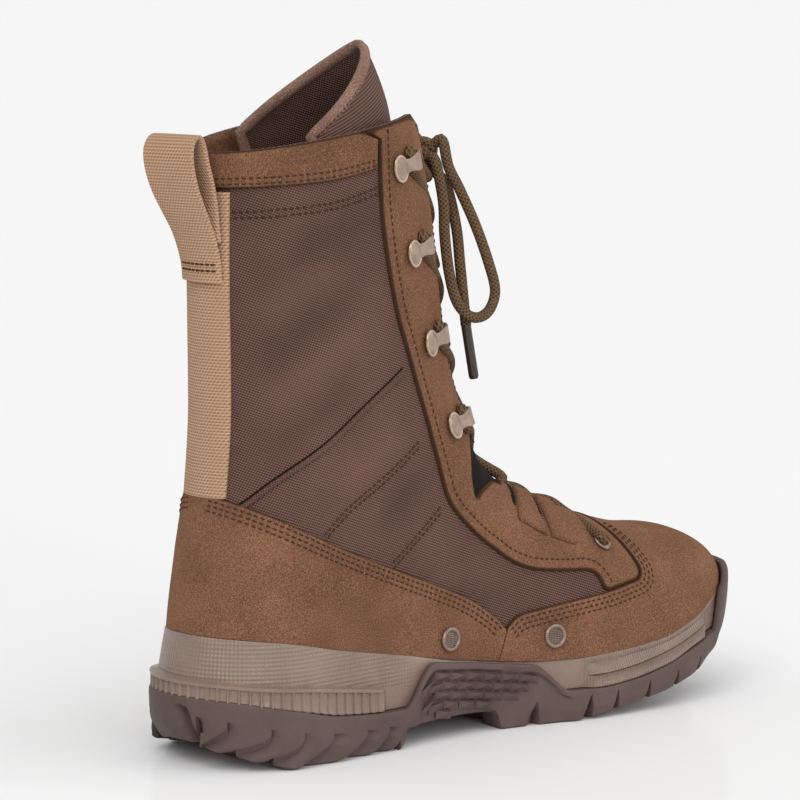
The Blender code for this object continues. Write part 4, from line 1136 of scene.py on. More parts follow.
# Tongue: rows under the throat, how far it reaches back from the ridge and how deep it lies under the upper.
TONGUE = Sections(("row", "reach", "deep"), [
    (4.6, 16, 3.6), (6, 19, 3.6), (8, 21, 3.6), (9, 23, 3.6), (10, 28, 3.6), (11, 33, 3.6), (12, 42, 3.8),
    (13, 53, 5.5), (14, 63, 7.5), (15, 70, 9.5),
])
TONGUE_START = 4.6
TONGUE_ROWS, TONGUE_COLUMNS = 64, 26
TONGUE_THICK = 2.4
TONGUE_TIP = {"height": 27.6, "lean": 10.0, "curl": 0.4, "steps": np.linspace(0.04, 0.985, 26)}
# Binding round the tongue's edge, with how far over the edge it goes, and where it is sewn: how far in,
# how high, and how many rows at the tip are left unsewn.
BINDING = {
    "from_row": 11.0, "half": 2.7, "thick": 1.8, "over": 0.8, "sewn_in": 3.6, "sewn_up": 0.45, "unsewn": 11,
}


def tongue_row(row, layer, narrow=1.0):
    """One row of the tongue from its inner edge over the ridge to its outer edge."""
    back_z, front = ROWS.read("back", row), ROWS.read("front", row)
    back = SHAFT.read("back", back_z)
    reach = float(TONGUE.read("reach", row)) * narrow / (front - back)
    spread = math.pi - math.acos(2 * reach - 1)
    points = []
    for side in (MEDIAL, LATERAL):
        angle = math.pi - np.linspace(1, 0, TONGUE_COLUMNS + 1) * spread
        points.append(skin(*row_line(row, angle), side, -TONGUE.read("deep", row) - layer)[0])
    return np.concatenate([points[0], points[1][-2::-1]])


def tongue_layer(layer):
    rows = [tongue_row(row, layer) for row in np.linspace(TONGUE_START, LAST_ROW, TONGUE_ROWS)]
    for step in TONGUE_TIP["steps"]:
        tip = tongue_row(LAST_ROW, layer, 1 - step) * (1, 1 - TONGUE_TIP["curl"] * step, 1)
        rows.append(tip + np.array([-TONGUE_TIP["lean"] * step ** 1.5, 0, TONGUE_TIP["height"] * step]))
    return np.stack(rows)


class BOOT_OT_tongue(Operator):
    """Twill tongue under the lacing, with a bound and sewn edge"""
    bl_idname = "boot.tongue"
    bl_label = "Tongue"

    def execute(self, context):
        outer, inner = tongue_layer(0.0), tongue_layer(TONGUE_THICK)
        rows, columns = outer.shape[:2]
        mesh = Mesh()
        faces = strip_faces(rows, columns)
        width = row_lengths(outer)
        uv = np.stack([width - width[:, columns // 2:columns // 2 + 1], outer[..., 2]], -1)
        mesh.add(outer, faces, 0, uv)
        mesh.add(inner, [face[::-1] for face in faces], 0, uv)
        number = np.arange(rows * columns).reshape(rows, columns)
        for line in (number[-1], number[0, ::-1], number[::-1, 0], number[:, -1]):
            mesh.close(line, number.size)
        start = int((BINDING["from_row"] - TONGUE_START) / (LAST_ROW - TONGUE_START) * (TONGUE_ROWS - 1))
        middle = (outer + inner) / 2
        edge = np.concatenate([middle[start:, 0], middle[:start - 1:-1, -1]])
        within = np.concatenate([middle[start:, 3], middle[:start - 1:-1, -4]])
        inward = unit(within - edge, 1e-6)
        tube(mesh, edge + inward * (BINDING["half"] - BINDING["over"]), BINDING["half"], 1, 14,
             BINDING["thick"] / BINDING["half"], inward)
        for column, side in ((0, 1), (-1, -1)):
            path = outer[start:, column]
            ways = unit(outer[start:, column + 3 * side] - path, 1e-6)
            up = unit(np.cross(ways, np.gradient(path, axis=0)) * side)
            row = path + ways * BINDING["sewn_in"] + up * BINDING["sewn_up"]
            sewn = len(row) - BINDING["unsewn"]
            stitches(mesh, row[:sewn], up[:sewn], 2, 2.6, 1.8, 0.33)
        mesh.make("tongue_twill", ["tongue", "binding", "thread"], "nylon", "tongue", sharp=60)
        return {"FINISHED"}


EDGE_STEPS = 900
DECK_DROP = 0.4


def sole_outline(angle, side, margin):
    """Plan points of the feather line, moved out by a margin."""
    def plan(a):
        x, z = row_line(0, a)
        return np.stack([x, camber(x) + side * np.sqrt(np.maximum(squared_half_width(x, z, side), 0))], -1)

    step = 1e-3
    run = plan(np.minimum(angle + step, math.pi)) - plan(np.maximum(angle - step, 0))
    out = np.stack([-run[:, 1], run[:, 0]], -1) * side
    out[angle <= step] = (-1, 0)
    out[angle >= math.pi - step] = (1, 0)
    return plan(angle) + unit(out) * np.reshape(margin, (-1, 1))


def sole_edge(side):
    """Angles round the sole's edge, with the place along the boot and the length from the heel's middle."""
    angle = np.linspace(0, math.pi, EDGE_STEPS)
    edge = sole_outline(angle, side, SOLE.read("margin", row_line(0, angle)[0]))
    return angle, edge[:, 0], lengths(edge)


def deck(x):
    return feather(x) - DECK_DROP


def parting_line(x):
    return SOLE.read("parting", x)


def sole_floor(x):
    return SOLE.read("floor", x)


def rim_top(x):
    return parting_line(x) + (feather(x) - parting_line(x)) * RIM_RISE.read("rise", x)


def rings_mesh(mesh, rings, levels=None, **values):
    """Adds rings, each an inner-side and an outer-side run from heel to toe, and closes both ends."""
    runs = len(rings[0][0])
    points = np.concatenate([np.concatenate(ring) for ring in rings])
    along = np.concatenate([lengths(rings[0][side]) * (1, -1)[side] for side in (0, 1)])
    uv = np.column_stack([np.tile(along, len(rings)), points[:, 2]])
    faces = []
    for ring in range(len(rings) - 1):
        for side in (0, 1):
            base = ring * 2 * runs + side * runs
            for j in range(base, base + runs - 1):
                face = [j, j + 1, j + 1 + 2 * runs, j + 2 * runs]
                faces.append(face if side == 0 else face[::-1])
    for ring, turn in ((0, 1), (len(rings) - 1, -1)):
        base = ring * 2 * runs
        faces += [[j, j + runs, j + runs + 1, j + 1][::turn] for j in range(base, base + runs - 1)]
    held = {}
    for key, value in values.items():
        level = (levels or {}).get(key, np.ones(len(rings)))
        held[key] = np.concatenate([np.concatenate(value) * share for share in level])
    mesh.add(points, faces, 0, uv, **held)


def sole_ring(angles, inset, height):
    """One ring of a sole piece, from distances in from the sole's edge and heights on each side."""
    ring = []
    for k, side in enumerate((MEDIAL, LATERAL)):
        x = row_line(0, angles[k])[0]
        flat = sole_outline(angles[k], side, SOLE.read("margin", x) - inset[k])
        ring.append(np.column_stack([flat, height[k]]))
    for end in (0, -1):
        middle = (ring[0][end] + ring[1][end]) / 2
        ring[0][end] = middle
        ring[1][end] = middle
    return ring


# Ribs of the band: those before the end fade out over a length, and each has flanks, as a share of the pitch.
RIBS = {"pitch": 4.6, "height": 1.1, "share": 0.12, "flank": 0.14, "end_x": -54.0, "fade": 6.0}
# Places along the boot where the cup's dots end, and where the forefoot's grooves begin and end.
DOTS_END, GROOVES_BEGIN, GROOVES_END = (-70, -45), (30, 45), (108, 116)
CUP_STATIONS = (260, 170)
# Ring over which the cup's fine dots begin.
CUP_FROM = 10


class BOOT_OT_midsole(Operator):
    """Midsole: heel cup over a ribbed band, and a grooved strip round the forefoot"""
    bl_idname = "boot.midsole"
    bl_label = "Midsole"

    def execute(self, context):
        angles, places, rib, values = [], [], [], {"cells": [], "lines": []}
        for side in (MEDIAL, LATERAL):
            angle, edge_x, length = sole_edge(side)
            heel_end = np.interp(RIBS["end_x"], edge_x, length)
            marks = np.concatenate([np.linspace(0, heel_end, CUP_STATIONS[0], endpoint=False),
                                    np.linspace(heel_end, length[-1], CUP_STATIONS[1])])
            angles.append(np.interp(marks, length, angle))
            x = row_line(0, angles[-1])[0]
            places.append(x)
            phase = np.abs((marks / RIBS["pitch"] + 0.5) % 1 - 0.5)
            window = ease((heel_end - marks) / RIBS["fade"])
            rib.append(RIBS["height"] * window * (1 - ease((phase - RIBS["share"] / 2) / RIBS["flank"])))
            values["cells"].append(1 - ease_between(x, DOTS_END))
            values["lines"].append(ease_between(x, GROOVES_BEGIN) * (1 - ease_between(x, GROOVES_END)))
        made = []
        sides = [self.profile(places[k], rib[k]) for k in (0, 1)]
        for (inset0, height0), (inset1, height1) in zip(*sides):
            made.append(sole_ring(angles, (inset0, inset1), (height0, height1)))
        mesh = Mesh()
        cup = np.arange(len(made)) > CUP_FROM
        rings_mesh(mesh, made, {"cells": cup}, **values)
        mesh.make("midsole_cup", ["midsole"], "midsole", "midsole", sharp=42)
        return {"FINISHED"}

    def profile(self, x, rib):
        """Rings from the parting line up: how far in from the sole's edge, and how high."""
        keep = 0.4 + RIM * RIM_RISE.read("inside", x)
        margin = SOLE.read("margin", x)
        low = parting_line(x) + 0.3 + 0.9 * ease_between(x, (85, 100))
        high = deck(x)
        band = np.minimum(SOLE.read("band", x), high - 3.0)
        heel = 1 - ease_between(x, (-58, -40))
        front = ease_between(x, (28, 42))

        def held(inset):
            return np.maximum(inset, keep)

        lip = held(margin - 2.4)
        span = high - band
        return [
            (keep + 5.0, low - 0.1),
            (held(0.7 + 0.9 * heel), low),
            (held(0.1 + 1.4 * heel - rib), low + 0.45),
            (held(0.3 + 1.3 * heel - rib), low + 1.1),
            (held(1.8 - rib - 1.1 * front), low + 1.5),
            (held(1.85 - rib - 1.1 * front), (low + band) / 2),
            (held(1.9 - rib - 1.1 * front), band - 1.3),
            (held(0.5 + 0.3 * front), band - 0.8),
            (held(0.2 + 0.4 * front), band - 0.1),
            (held(0.5 + 1.2 * front), band + 0.5),
            (held(1.6 + 0.8 * front + 1.4 * heel), band + 0.8),
            (held(1.7 + 2.2 * heel), band + 1.3),
            (held(0.45 * margin + 0.75 * heel), band + 0.35 * span),
            (held(0.66 * margin - 0.2 * heel), band + 0.68 * span),
            (lip, high - 1.4),
            (lip + 0.1, high - 0.2),
            (lip + 0.5, high + 0.35),
            (lip + 1.2, high + 0.45),
            (lip + 4.0, high - 0.2),
        ]


# Heel lugs: places of their front cuts along the sole's edge, and how they are shaped.
HEEL_CUTS = (-141.6, -128, -114.5, -99.6, -80.6, -67.9, -58)
HEEL_LUG = {
    "depth": 6.0, "starts": (0.3, 0.44), "hook": 7.0, "hook_from": 0.42, "full_height": 22.0,
    "pointed_from": 4, "point": 3.0, "least": 8.0,
    "flare": 3.6, "flare_ends": (-64, -54), "flare_starts": (0.05, 0.25),
}
# How far each cut runs back on its way down, from which share of the wall, and how it bends.
HEEL_SWEEP = np.array([12.0, 15.0, 13.0, 11.0, 6.0, 4.0, 3.0])
SWEEP_FROM, SWEEP_POWER = 0.62, 1.5
LUG_MARKS = (0.0, 0.03, 0.08, 0.16, 0.27, 0.4, 0.52, 0.64, 0.75, 0.84, 0.91, 0.96, 0.995)
# Channel beside the block at the back: distance from the middle on the inner and outer side, and its form.
CHANNEL = {"at": (4.5, 24.0), "slant": 7.0, "half": 4.2, "depth": 9.0, "behind": 9.5, "starts": (0.08, 0.28)}
# Notches of the forefoot: place along the edge, width at the floor, and share of the wall where they begin.
NOTCHES = [(14.5, 6.9, 0.56), (40, 4.0, 0.15), (53.6, 2.4, 0.14), (71.2, 2.4, 0.26), (87.6, 2.4, 0.36),
           (102.7, 2.2, 0.44)]
NOTCH_MARKS = (-1.02, -0.8, -0.6, -0.4, -0.2, -0.08, 0.0, 0.1, 0.2, 0.3, 0.32)
# Depth of a notch, and the width of its front half as a share of its back half's.
NOTCH_DEPTH, NOTCH_FRONT = 6.0, 0.3
# How far the walls of the toe, of the heel's block and of the whole sole lean in towards the tread.
TOE_TUCK, BLOCK_TUCK, TREAD_TUCK = 4.0, 4.0, 0.9
TOE_TUCK_X = (95, 120)
EDGE_STATIONS = 340
# Edges of the rim, as insets and drops from its top, and the drop where the wall under it starts.
RIM_ROUND = 0.9
RIM_PROFILE = [(RIM - 1.1, 0.25), (RIM - 1.7, 0.0), (1.1, 0.0), (0.5, 0.25), (0.1, RIM_ROUND)]
# Shares of the wall's height at which it has a ring, and how far its foot is rounded.
WALL_SHARES, FOOT_ROUND = np.linspace(0.08, 1.0, 15), 0.9
# Studded panel at the arch: its ends and how they fade in, its recess, and the studs on it.
PANEL = {"from_x": -51.0, "to_x": 33.0, "fade": (4.0, 6.0), "recess": 1.5, "rim": 3.2}
STUDS = {
    "half": 4.6, "tall": 4.0, "rows": 6, "rise": 3.4, "up": 1.1, "wide": 0.96, "high": 0.46, "below_rim": 0.8,
}
# Lowest place of a stud, which rises towards the toe: height, where the rise begins, and its slope.
STUD_LEAST = {"z": 8.6, "from_x": -6.0, "slope": 0.12}


class BOOT_OT_outsole(Operator):
    """Outsole: hooked heel lugs, notched forefoot, studded arch panel and toe bumper"""
    bl_idname = "boot.outsole"
    bl_label = "Outsole"

    def execute(self, context):
        mesh = Mesh()
        sides = []
        for number, side in enumerate((MEDIAL, LATERAL)):
            edge = sole_edge(side)
            sides.append(self.profile(number, *self.stations(number, edge[1], edge[2]), edge))
            self.studs(mesh, side, edge)
        made = []
        for (angle0, inset0, height0), (angle1, inset1, height1) in zip(*sides):
            made.append(sole_ring((angle0, angle1), (inset0, inset1), (height0, height1)))
        rings_mesh(mesh, made)
        self.treads(mesh)
        mesh.make("outsole_rubber", ["rubber"], "rubber", "outsole", sharp=32)
        return {"FINISHED"}

    def stations(self, number, edge_x, length):
        """Lengths round one side from the heel's middle, each with its phase on a lug and its lug."""
        start = self.block(number)
        rows = [(mark, -1.0, 0) for mark in np.arange(0, start, 0.8)]
        cuts = np.interp(HEEL_CUTS, edge_x, length)
        for lug, end in enumerate(cuts):
            if end > start + HEEL_LUG["least"]:
                rows += [(start + (end - start) * mark, mark, lug) for mark in LUG_MARKS]
                start = end
        for x, wide, _ in NOTCHES:
            rows += [(np.interp(x, edge_x, length) + wide * mark, -1.0, 0) for mark in NOTCH_MARKS]
        rows += [(mark, -1.0, 0) for mark in np.linspace(start + 0.3, length[-1], EDGE_STATIONS - len(rows))]
        rows.sort()
        return [np.array(column) for column in zip(*rows)]

    def block(self, number):
        """Where the block at the back ends on one side."""
        return CHANNEL["at"][number] + CHANNEL["behind"]

    def sweep(self, number, marks, phase, lug):
        """How far the lower end of each station runs back, so that the lugs overlap like scales."""
        ends = np.append(HEEL_SWEEP, 0.0)
        before = np.where(lug > 0, ends[lug - 1], 0.0)
        within = before + (ends[lug] - before) * np.clip(phase, 0, 1)
        last = marks[phase >= 0].max()
        after = HEEL_SWEEP[-1] * (1 - ease((marks - last) / 20))
        return np.where(phase >= 0, within, np.where(marks < self.block(number), 0.0, after))

    def profile(self, number, marks, phase, lug, edge):
        """Rings from the rim down to the tread: place round the edge, how far in from it, and how high."""
        angle, edge_x, length = edge
        sweep = self.sweep(number, marks, phase, lug)
        rings = []

        def ring(share, inset, height):
            """Adds one ring, whose inset and height are found at its own swept stations."""
            at = marks - sweep * np.clip((share - SWEEP_FROM) / (1 - SWEEP_FROM), 0, 1) ** SWEEP_POWER
            at = np.where(marks > 0, np.maximum.accumulate(np.maximum(at, 0)), 0.0)
            x = np.interp(at, length, edge_x)
            depth = inset(x) if callable(inset) else inset + np.zeros_like(x)
            rings.append((np.interp(at, length, angle), depth, height(x)))

        def foot(x):
            """Lower end of the wall, which lifts like a hook towards the front of each lug."""
            hook = np.clip((phase - HEEL_LUG["hook_from"]) / (1 - HEEL_LUG["hook_from"]), 0, 1)
            tall = np.clip((parting_line(x) - sole_floor(x)) / HEEL_LUG["full_height"], 0, 1)
            return sole_floor(x) + HEEL_LUG["hook"] * (1 - np.sqrt(1 - hook ** 2)) * tall + FOOT_ROUND

        ring(0, RIM + 4, lambda x: parting_line(x) - 0.2)
        ring(0, RIM, lambda x: parting_line(x) - 0.1)
        ring(0, RIM - 0.5, lambda x: np.maximum(parting_line(x) - 0.1, rim_top(x) - RIM_ROUND))
        for inset, drop in RIM_PROFILE:
            ring(0, inset, lambda x, drop=drop: rim_top(x) - drop)
        block = BLOCK_TUCK * (marks < self.block(number))
        for share in WALL_SHARES:
            def height(x, share=share):
                return rim_top(x) - RIM_ROUND + (foot(x) - rim_top(x) + RIM_ROUND) * share

            def inset(x, share=share):
                cut = self.relief(number, marks, phase, lug, x, edge[1:], share, rim_top(x) - height(x))
                tuck = TREAD_TUCK * ease((share - 0.6) / 0.4)
                tuck = tuck + TOE_TUCK * ease_between(x, TOE_TUCK_X) * share ** 2
                return cut + tuck + block * np.clip((share - 0.4) / 0.6, 0, 1) ** 2

            ring(share, inset, height)
        last = rings[-1][1]
        rise = np.where(last > 3.0, 3.0, 0.0)
        ring(1, last + 1.3, lambda x: foot(x) - FOOT_ROUND)
        ring(1, np.maximum(last + 4, 9.0), lambda x: sole_floor(x) + 0.2 + rise)
        ring(1, 15.0, lambda x: sole_floor(x) + 0.2 + rise)
        ring(1, 16.5, lambda x: np.minimum(sole_floor(x) + 4.5, 11.5))
        return rings

    def relief(self, number, marks, phase, lug, x, edge, share, below):
        """How far the wall is cut in at one share of its height, by lugs, channel, panel and notches."""
        edge_x, length = edge
        low = ease_between(share, HEEL_LUG["starts"])
        inset = np.where(phase >= 0, HEEL_LUG["depth"] * np.clip(1 - phase, 0, 1) ** 1.2 * low, 0.0)
        pointed = (phase >= 0) & (lug >= HEEL_LUG["pointed_from"])
        inset += np.where(pointed, HEEL_LUG["point"] * abs(share - 0.6) / 0.4 * low, 0.0)
        flare = (1 - ease_between(x, HEEL_LUG["flare_ends"])) * ease_between(share, HEEL_LUG["flare_starts"])
        inset -= HEEL_LUG["flare"] * flare
        across = (marks - CHANNEL["at"][number] - CHANNEL["slant"] * share) / CHANNEL["half"]
        inset += CHANNEL["depth"] * np.exp(-across ** 2) * ease_between(share, CHANNEL["starts"])
        window = ease((x - PANEL["from_x"]) / PANEL["fade"][0]) * ease((PANEL["to_x"] - x) / PANEL["fade"][1])
        inset += PANEL["recess"] * window * ease(below - PANEL["rim"] + 0.5)
        for place, wide, begins in NOTCHES:
            reach = wide * max((share - begins) / (1 - begins), 0.001)
            off = marks - np.interp(place, edge_x, length)
            cut = np.where(off < 0, 1 + off / reach, 1 - off / (NOTCH_FRONT * reach))
            inset = np.maximum(inset, NOTCH_DEPTH * np.clip(cut, 0, 1) * min(4 * (share - begins), 1.0))
        return inset

    def studs(self, mesh, side, edge):
        """Rows of pyramid studs on the arch panel, each row half a stud along from the one above."""
        angle, edge_x, length = edge
        ends = np.interp([PANEL["from_x"] + 2, PANEL["to_x"] - 4], edge_x, length)
        for row in range(STUDS["rows"]):
            for middle in np.arange(ends[0] + STUDS["half"] * (1 + row % 2), ends[1], 2 * STUDS["half"]):
                marks = middle + STUDS["half"] * STUDS["wide"] * np.array([-1, 1, 1, -1, 0])
                x = np.interp(marks, length, edge_x)
                level = row + 0.5 - STUDS["high"] * np.array([-1, -1, 1, 1, 0])
                height = rim_top(x) - PANEL["rim"] - STUDS["below_rim"] - STUDS["tall"] * level
                height[4] += STUDS["up"]
                least = STUD_LEAST["z"] + STUD_LEAST["slope"] * np.maximum(x - STUD_LEAST["from_x"], 0)
                if np.any(height < least) or marks[1] > ends[1]:
                    continue
                place = np.interp(marks, length, angle)
                out = SOLE.read("margin", row_line(0, place)[0]) - PANEL["recess"] + 0.05
                out[4] += STUDS["rise"]
                flat = sole_outline(place, side, out)
                faces = [[0, 1, 4], [1, 2, 4], [2, 3, 4], [3, 0, 4]]
                points = np.column_stack([flat, height])
                mesh.add(points, faces if side == MEDIAL else [face[::-1] for face in faces])

    def treads(self, mesh):
        """Chevron bars in the middle of the tread."""
        for x in np.concatenate([np.arange(-118, -62, 15.0), np.arange(6, 112, 15.0)]):
            half = 20.0 if x < 0 else 26.0
            floor = float(sole_floor(x))
            outline = [(x - 4, 0), (x + 3, half * 0.95), (x + 10, half * 0.95), (x + 4, 0)]
            for side in (MEDIAL, LATERAL):
                points = []
                for height, grow in ((floor + 5.0, 0.0), (floor + 0.9, 0.0), (floor + 0.4, 0.5)):
                    middle = np.mean(outline, 0)
                    for px, py in outline:
                        px, py = np.array([px, py]) + (middle - (px, py)) * grow * 0.15
                        points.append((px, camber(px) + side * py, height))
                faces = strip_faces(3, 4, True) + [[8, 9, 10, 11]]
                mesh.add(points, [face[::-1] for face in faces] if side == MEDIAL else faces)


class BOOT_OT_insole(Operator):
    """Cloth of the insole, which keeps its modelled shape"""
    bl_idname = "boot.insole"
    bl_label = "Insole"

    def execute(self, context):
        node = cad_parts["insole"]
        if not node.material_slots:
            node.data.materials.append(None)
        for slot in node.material_slots:
            slot.link = "OBJECT"
            slot.material = look_of("lining")
        return {"FINISHED"}


def place_on(x, z, lift, side, forward=(1, 0, 0)):
    """A frame on the upper in millimetres: Z follows the upper's normal and X runs forward along its face."""
    point, normal = skin(np.array([float(x)]), np.array([float(z)]), side, np.array([float(lift)]))
    up = Vector(normal[0])
    ahead = Vector(forward)
    ahead = (ahead - up * ahead.dot(up)).normalized()
    turn = Matrix((ahead, up.cross(ahead), up)).transposed()
    return Matrix.Translation(Vector(point[0])) @ turn.to_4x4()


def finish_hard(parts, materials):
    """Joins primitives made in millimetres into one mesh, whose faces keep the materials of the parts."""
    for part, material in zip(parts, materials):
        part.data.materials.clear()
        part.data.materials.append(look_of(material))
    bpy.ops.object.select_all(action="DESELECT")
    for part in parts:
        part.select_set(True)
    bpy.context.view_layer.objects.active = parts[0]
    bpy.ops.object.transform_apply(location=True, rotation=True, scale=True)
    if len(parts) > 1:
        bpy.ops.object.join()
    bpy.ops.object.shade_smooth_by_angle(angle=math.radians(35))
    mesh = parts[0].data
    bpy.data.objects.remove(parts[0])
    return mesh


def torus(radius, thick, segments, height, scale):
    """A ring at a height, from the radius of its middle, half its thickness and its number of segments."""
    bpy.ops.mesh.primitive_torus_add(major_radius=radius, minor_radius=thick, major_segments=segments[0],
                                     minor_segments=segments[1], location=(0, 0, height))
    ring = bpy.context.object
    ring.scale = scale
    return ring


def rod(radius, depth, vertices, height=0.0):
    """An upright rod or disc at a height."""
    bpy.ops.mesh.primitive_cylinder_add(vertices=vertices, radius=radius, depth=depth,
                                        location=(0, 0, height))
    return bpy.context.object


def copies(mesh, places):
    """Puts a copy of a finished mesh at each place, for each node's name."""
    for (node, name), place in places.items():
        made = mesh.copy()
        shift = Matrix.Translation(Vector(ORIGIN_SHIFT))
        made.transform(Matrix.Scale(MM, 4) @ shift @ place)
        made.name = name
        obj = bpy.data.objects.new(name, made)
        bpy.context.scene.collection.objects.link(obj)
        settle(obj, (node,))
    bpy.data.meshes.remove(mesh)


# Thickness of a hook's plate, and how far its edges are broken.
HOOK_THICK, HOOK_EDGE = 1.0, 0.25
# Path of a hook's plate from under the rivet forward over the lace and down at its end, as x and z.
HOOK_PATH = [(-2.0, 0.7), (2.5, 0.9), (5.5, 1.9), (8.5, 2.6), (11.5, 2.3), (13.4, 1.0), (13.9, -1.0)]
# Width of the plate at shares of that path.
HOOK_WIDTHS = [(0, 8.6), (0.25, 6.4), (0.42, 5.4), (0.62, 7.4), (1, 7.4)]


class BOOT_OT_hooks(Operator):
    """Speed hooks: a domed oval rivet in a ring, and a plate that runs forward over the lace and down"""
    bl_idname = "boot.hooks"
    bl_label = "Hooks"

    def execute(self, context):
        bpy.ops.mesh.primitive_uv_sphere_add(segments=28, ring_count=14, radius=4.3, location=(0, 0, 1.0),
                                             scale=(0.9, 1.12, 0.3))
        rivet = context.object
        rim = torus(4.5, 0.6, (36, 10), 0.9, (0.92, 1.14, 1.0))
        plate = self.plate(context)
        mesh = finish_hard([plate, rivet, rim], ["metal", "metal", "rim_highlight"])
        places = {}
        for name, side in SIDES.items():
            for number, (x, z, lift) in enumerate(HOOKS, start=1):
                key = (f"hook_{number}_{name}", f"speed_hook_{number}_{name}")
                places[key] = place_on(x, z, lift, side, HOOK_WAY)
        copies(mesh, places)
        return {"FINISHED"}

    def plate(self, context):
        bpy.ops.mesh.primitive_grid_add(x_subdivisions=36, y_subdivisions=10, size=2)
        plate = context.object
        line = resample(smooth_line(HOOK_PATH), 0.1)
        share = lengths(line) / lengths(line)[-1]
        shares, widths = zip(*HOOK_WIDTHS)
        bpy.ops.object.mode_set(mode="EDIT")
        form = bmesh.from_edit_mesh(plate.data)
        for vert in form.verts:
            t = (vert.co.x + 1) / 2
            width = np.interp(t, shares, widths)
            x, z = (np.interp(t, share, line[:, k]) for k in (0, 1))
            vert.co = (x, vert.co.y * width / 2, z)
        bmesh.update_edit_mesh(plate.data)
        bpy.ops.object.mode_set(mode="OBJECT")
        solid = plate.modifiers.new("thickness", "SOLIDIFY")
        solid.thickness, solid.offset = HOOK_THICK, 0.0
        bevel = plate.modifiers.new("edges", "BEVEL")
        bevel.width, bevel.segments = HOOK_EDGE, 2
        for name in ("thickness", "edges"):
            bpy.ops.object.modifier_apply(modifier=name)
        return plate


# Wire mesh of a vent: number of wires each way, their pitch and radius, and the radius that they fill.
WIRES = {"number": 9, "pitch": 0.8, "radius": 0.16, "fill": 3.7}


class BOOT_OT_rings(Operator):
    """Eyelet rings at the foot of the lacing, and the mesh vents on the inner side"""
    bl_idname = "boot.rings"
    bl_label = "Eyelets and vents"

    def execute(self, context):
        parts = [torus(3.6, 1.0, (36, 12), 0.3, (1, 1, 0.8)), rod(2.7, 0.6, 28, -0.5)]
        mesh = finish_hard(parts, ["ring", "lining"])
        places = {(f"eyelet_{name}", f"eyelet_ring_{name}"): place_on(*EYELET, side)
                  for name, side in SIDES.items()}
        copies(mesh, places)

        parts = [torus(4.4, 0.85, (40, 12), 0.2, (1, 1, 0.9)), rod(3.9, 0.5, 32, -0.25)]
        looks = ["ring", "mesh"]
        for k in range(WIRES["number"]):
            off = (k - WIRES["number"] // 2) * WIRES["pitch"]
            reach = math.sqrt(WIRES["fill"] ** 2 - off ** 2)
            for turn, spot in ((0, (off, 0, 0.05)), (math.pi / 2, (0, off, 0.05))):
                wire = rod(WIRES["radius"], 2 * reach, 6)
                wire.rotation_euler = (math.pi / 2, 0, turn)
                wire.location = spot
                parts.append(wire)
                looks.append("ring")
        mesh = finish_hard(parts, looks)
        places = {(f"vent_{number}", f"mesh_vent_{number}"): place_on(*spot, MEDIAL)
                  for number, spot in enumerate(VENTS, start=1)}
        copies(mesh, places)
        return {"FINISHED"}


# Lace: places along the ridge where it turns at each side, from the eyelets up to the top hooks.
LACE_TURNS = (66.0, 48.0, 30.0, 3.5, -7.5, -14.0, -19.5)
LACE_ENTERS = (-0.75, 0.3, -0.55)
# How the lace lies at an eyelet and at a hook, in their own frames, and under a strip, as a step in rows,
# a distance from the middle and a height over the upper's face.
EYELET_SPOTS = ((0.5, 0, -1.5), (0, 0, 0.6), (-2.6, 0.0, 2.6))
HOOK_SPOT = {"ahead": 9.6, "steps": (-4.2, 0.0, 4.2), "up": -0.3}
STRIP_SPOTS = ((0.0, 10.5, -1.0), (0.15, 10.8, -1.1))
# The first turns are at the eyelets and strips, and the others at the hooks.
HOOKED_FROM = 3
# Heights of the lace at the throat's edge and where its two runs cross, with the step between the runs there.
LACE_EDGE = {"half": 8.0, "low": -0.5, "before_hook": 2.6, "after_turn": 2.2, "top": 4.0}
LACE_CROSSING = {"low": (-0.2, 1.4), "high": (1.5, 2.2)}
# Bow of the lace: which way each strand leaves the knot, and its route as x, distance from the middle and z.
KNOT = {"centre": (-14.0, 0.0, 242.5), "radii": (5.5, 6.5, 5.5)}
BOW_LOOP = {
    "leaves": (0.35, 0.8, 0.5),
    "returns": (-0.15, 0.93, -0.33),
    "route": [(-11, 13, 237), (-8, 17, 227), (-3, 21, 212.5), (2.5, 23, 197), (5.5, 24, 185), (2.5, 24, 177),
              (-4, 24, 174), (-10.5, 23.5, 176), (-15.5, 22.5, 182.5), (-18, 21, 194.5), (-18.5, 19, 209),
              (-17.5, 17, 223)],
}
BOW_END = {
    "leaves": (0.3, 0.47, -0.83),
    "route": [(-9.5, 10, 229), (-8, 14.5, 212), (-8, 17, 196), (-7.5, 18.5, 182), (-6, 18.5, 170.5)],
}
AGLET_END = (-0.9, 18.0, 147.7)
AGLET_RADIUS = 2.0
# Distances from the knot's face of a strand's first two points.
OUT_OF_KNOT = (-1.0, 4.5)


def knot_exit(leaves, side, extra):
    """A point just outside the knot in the direction that a strand leaves it."""
    way = np.array(leaves) * (1, side, 1)
    way /= np.linalg.norm(way)
    reach = 1 / np.linalg.norm(way / np.array(KNOT["radii"]))
    return np.array(KNOT["centre"]) + way * (reach + extra)


def throat_point(row, side, half, lift):
    angle = throat_angle(row, side, half)
    return skin(*row_line(np.array([row]), angle), side, np.array([lift]))[0][0]


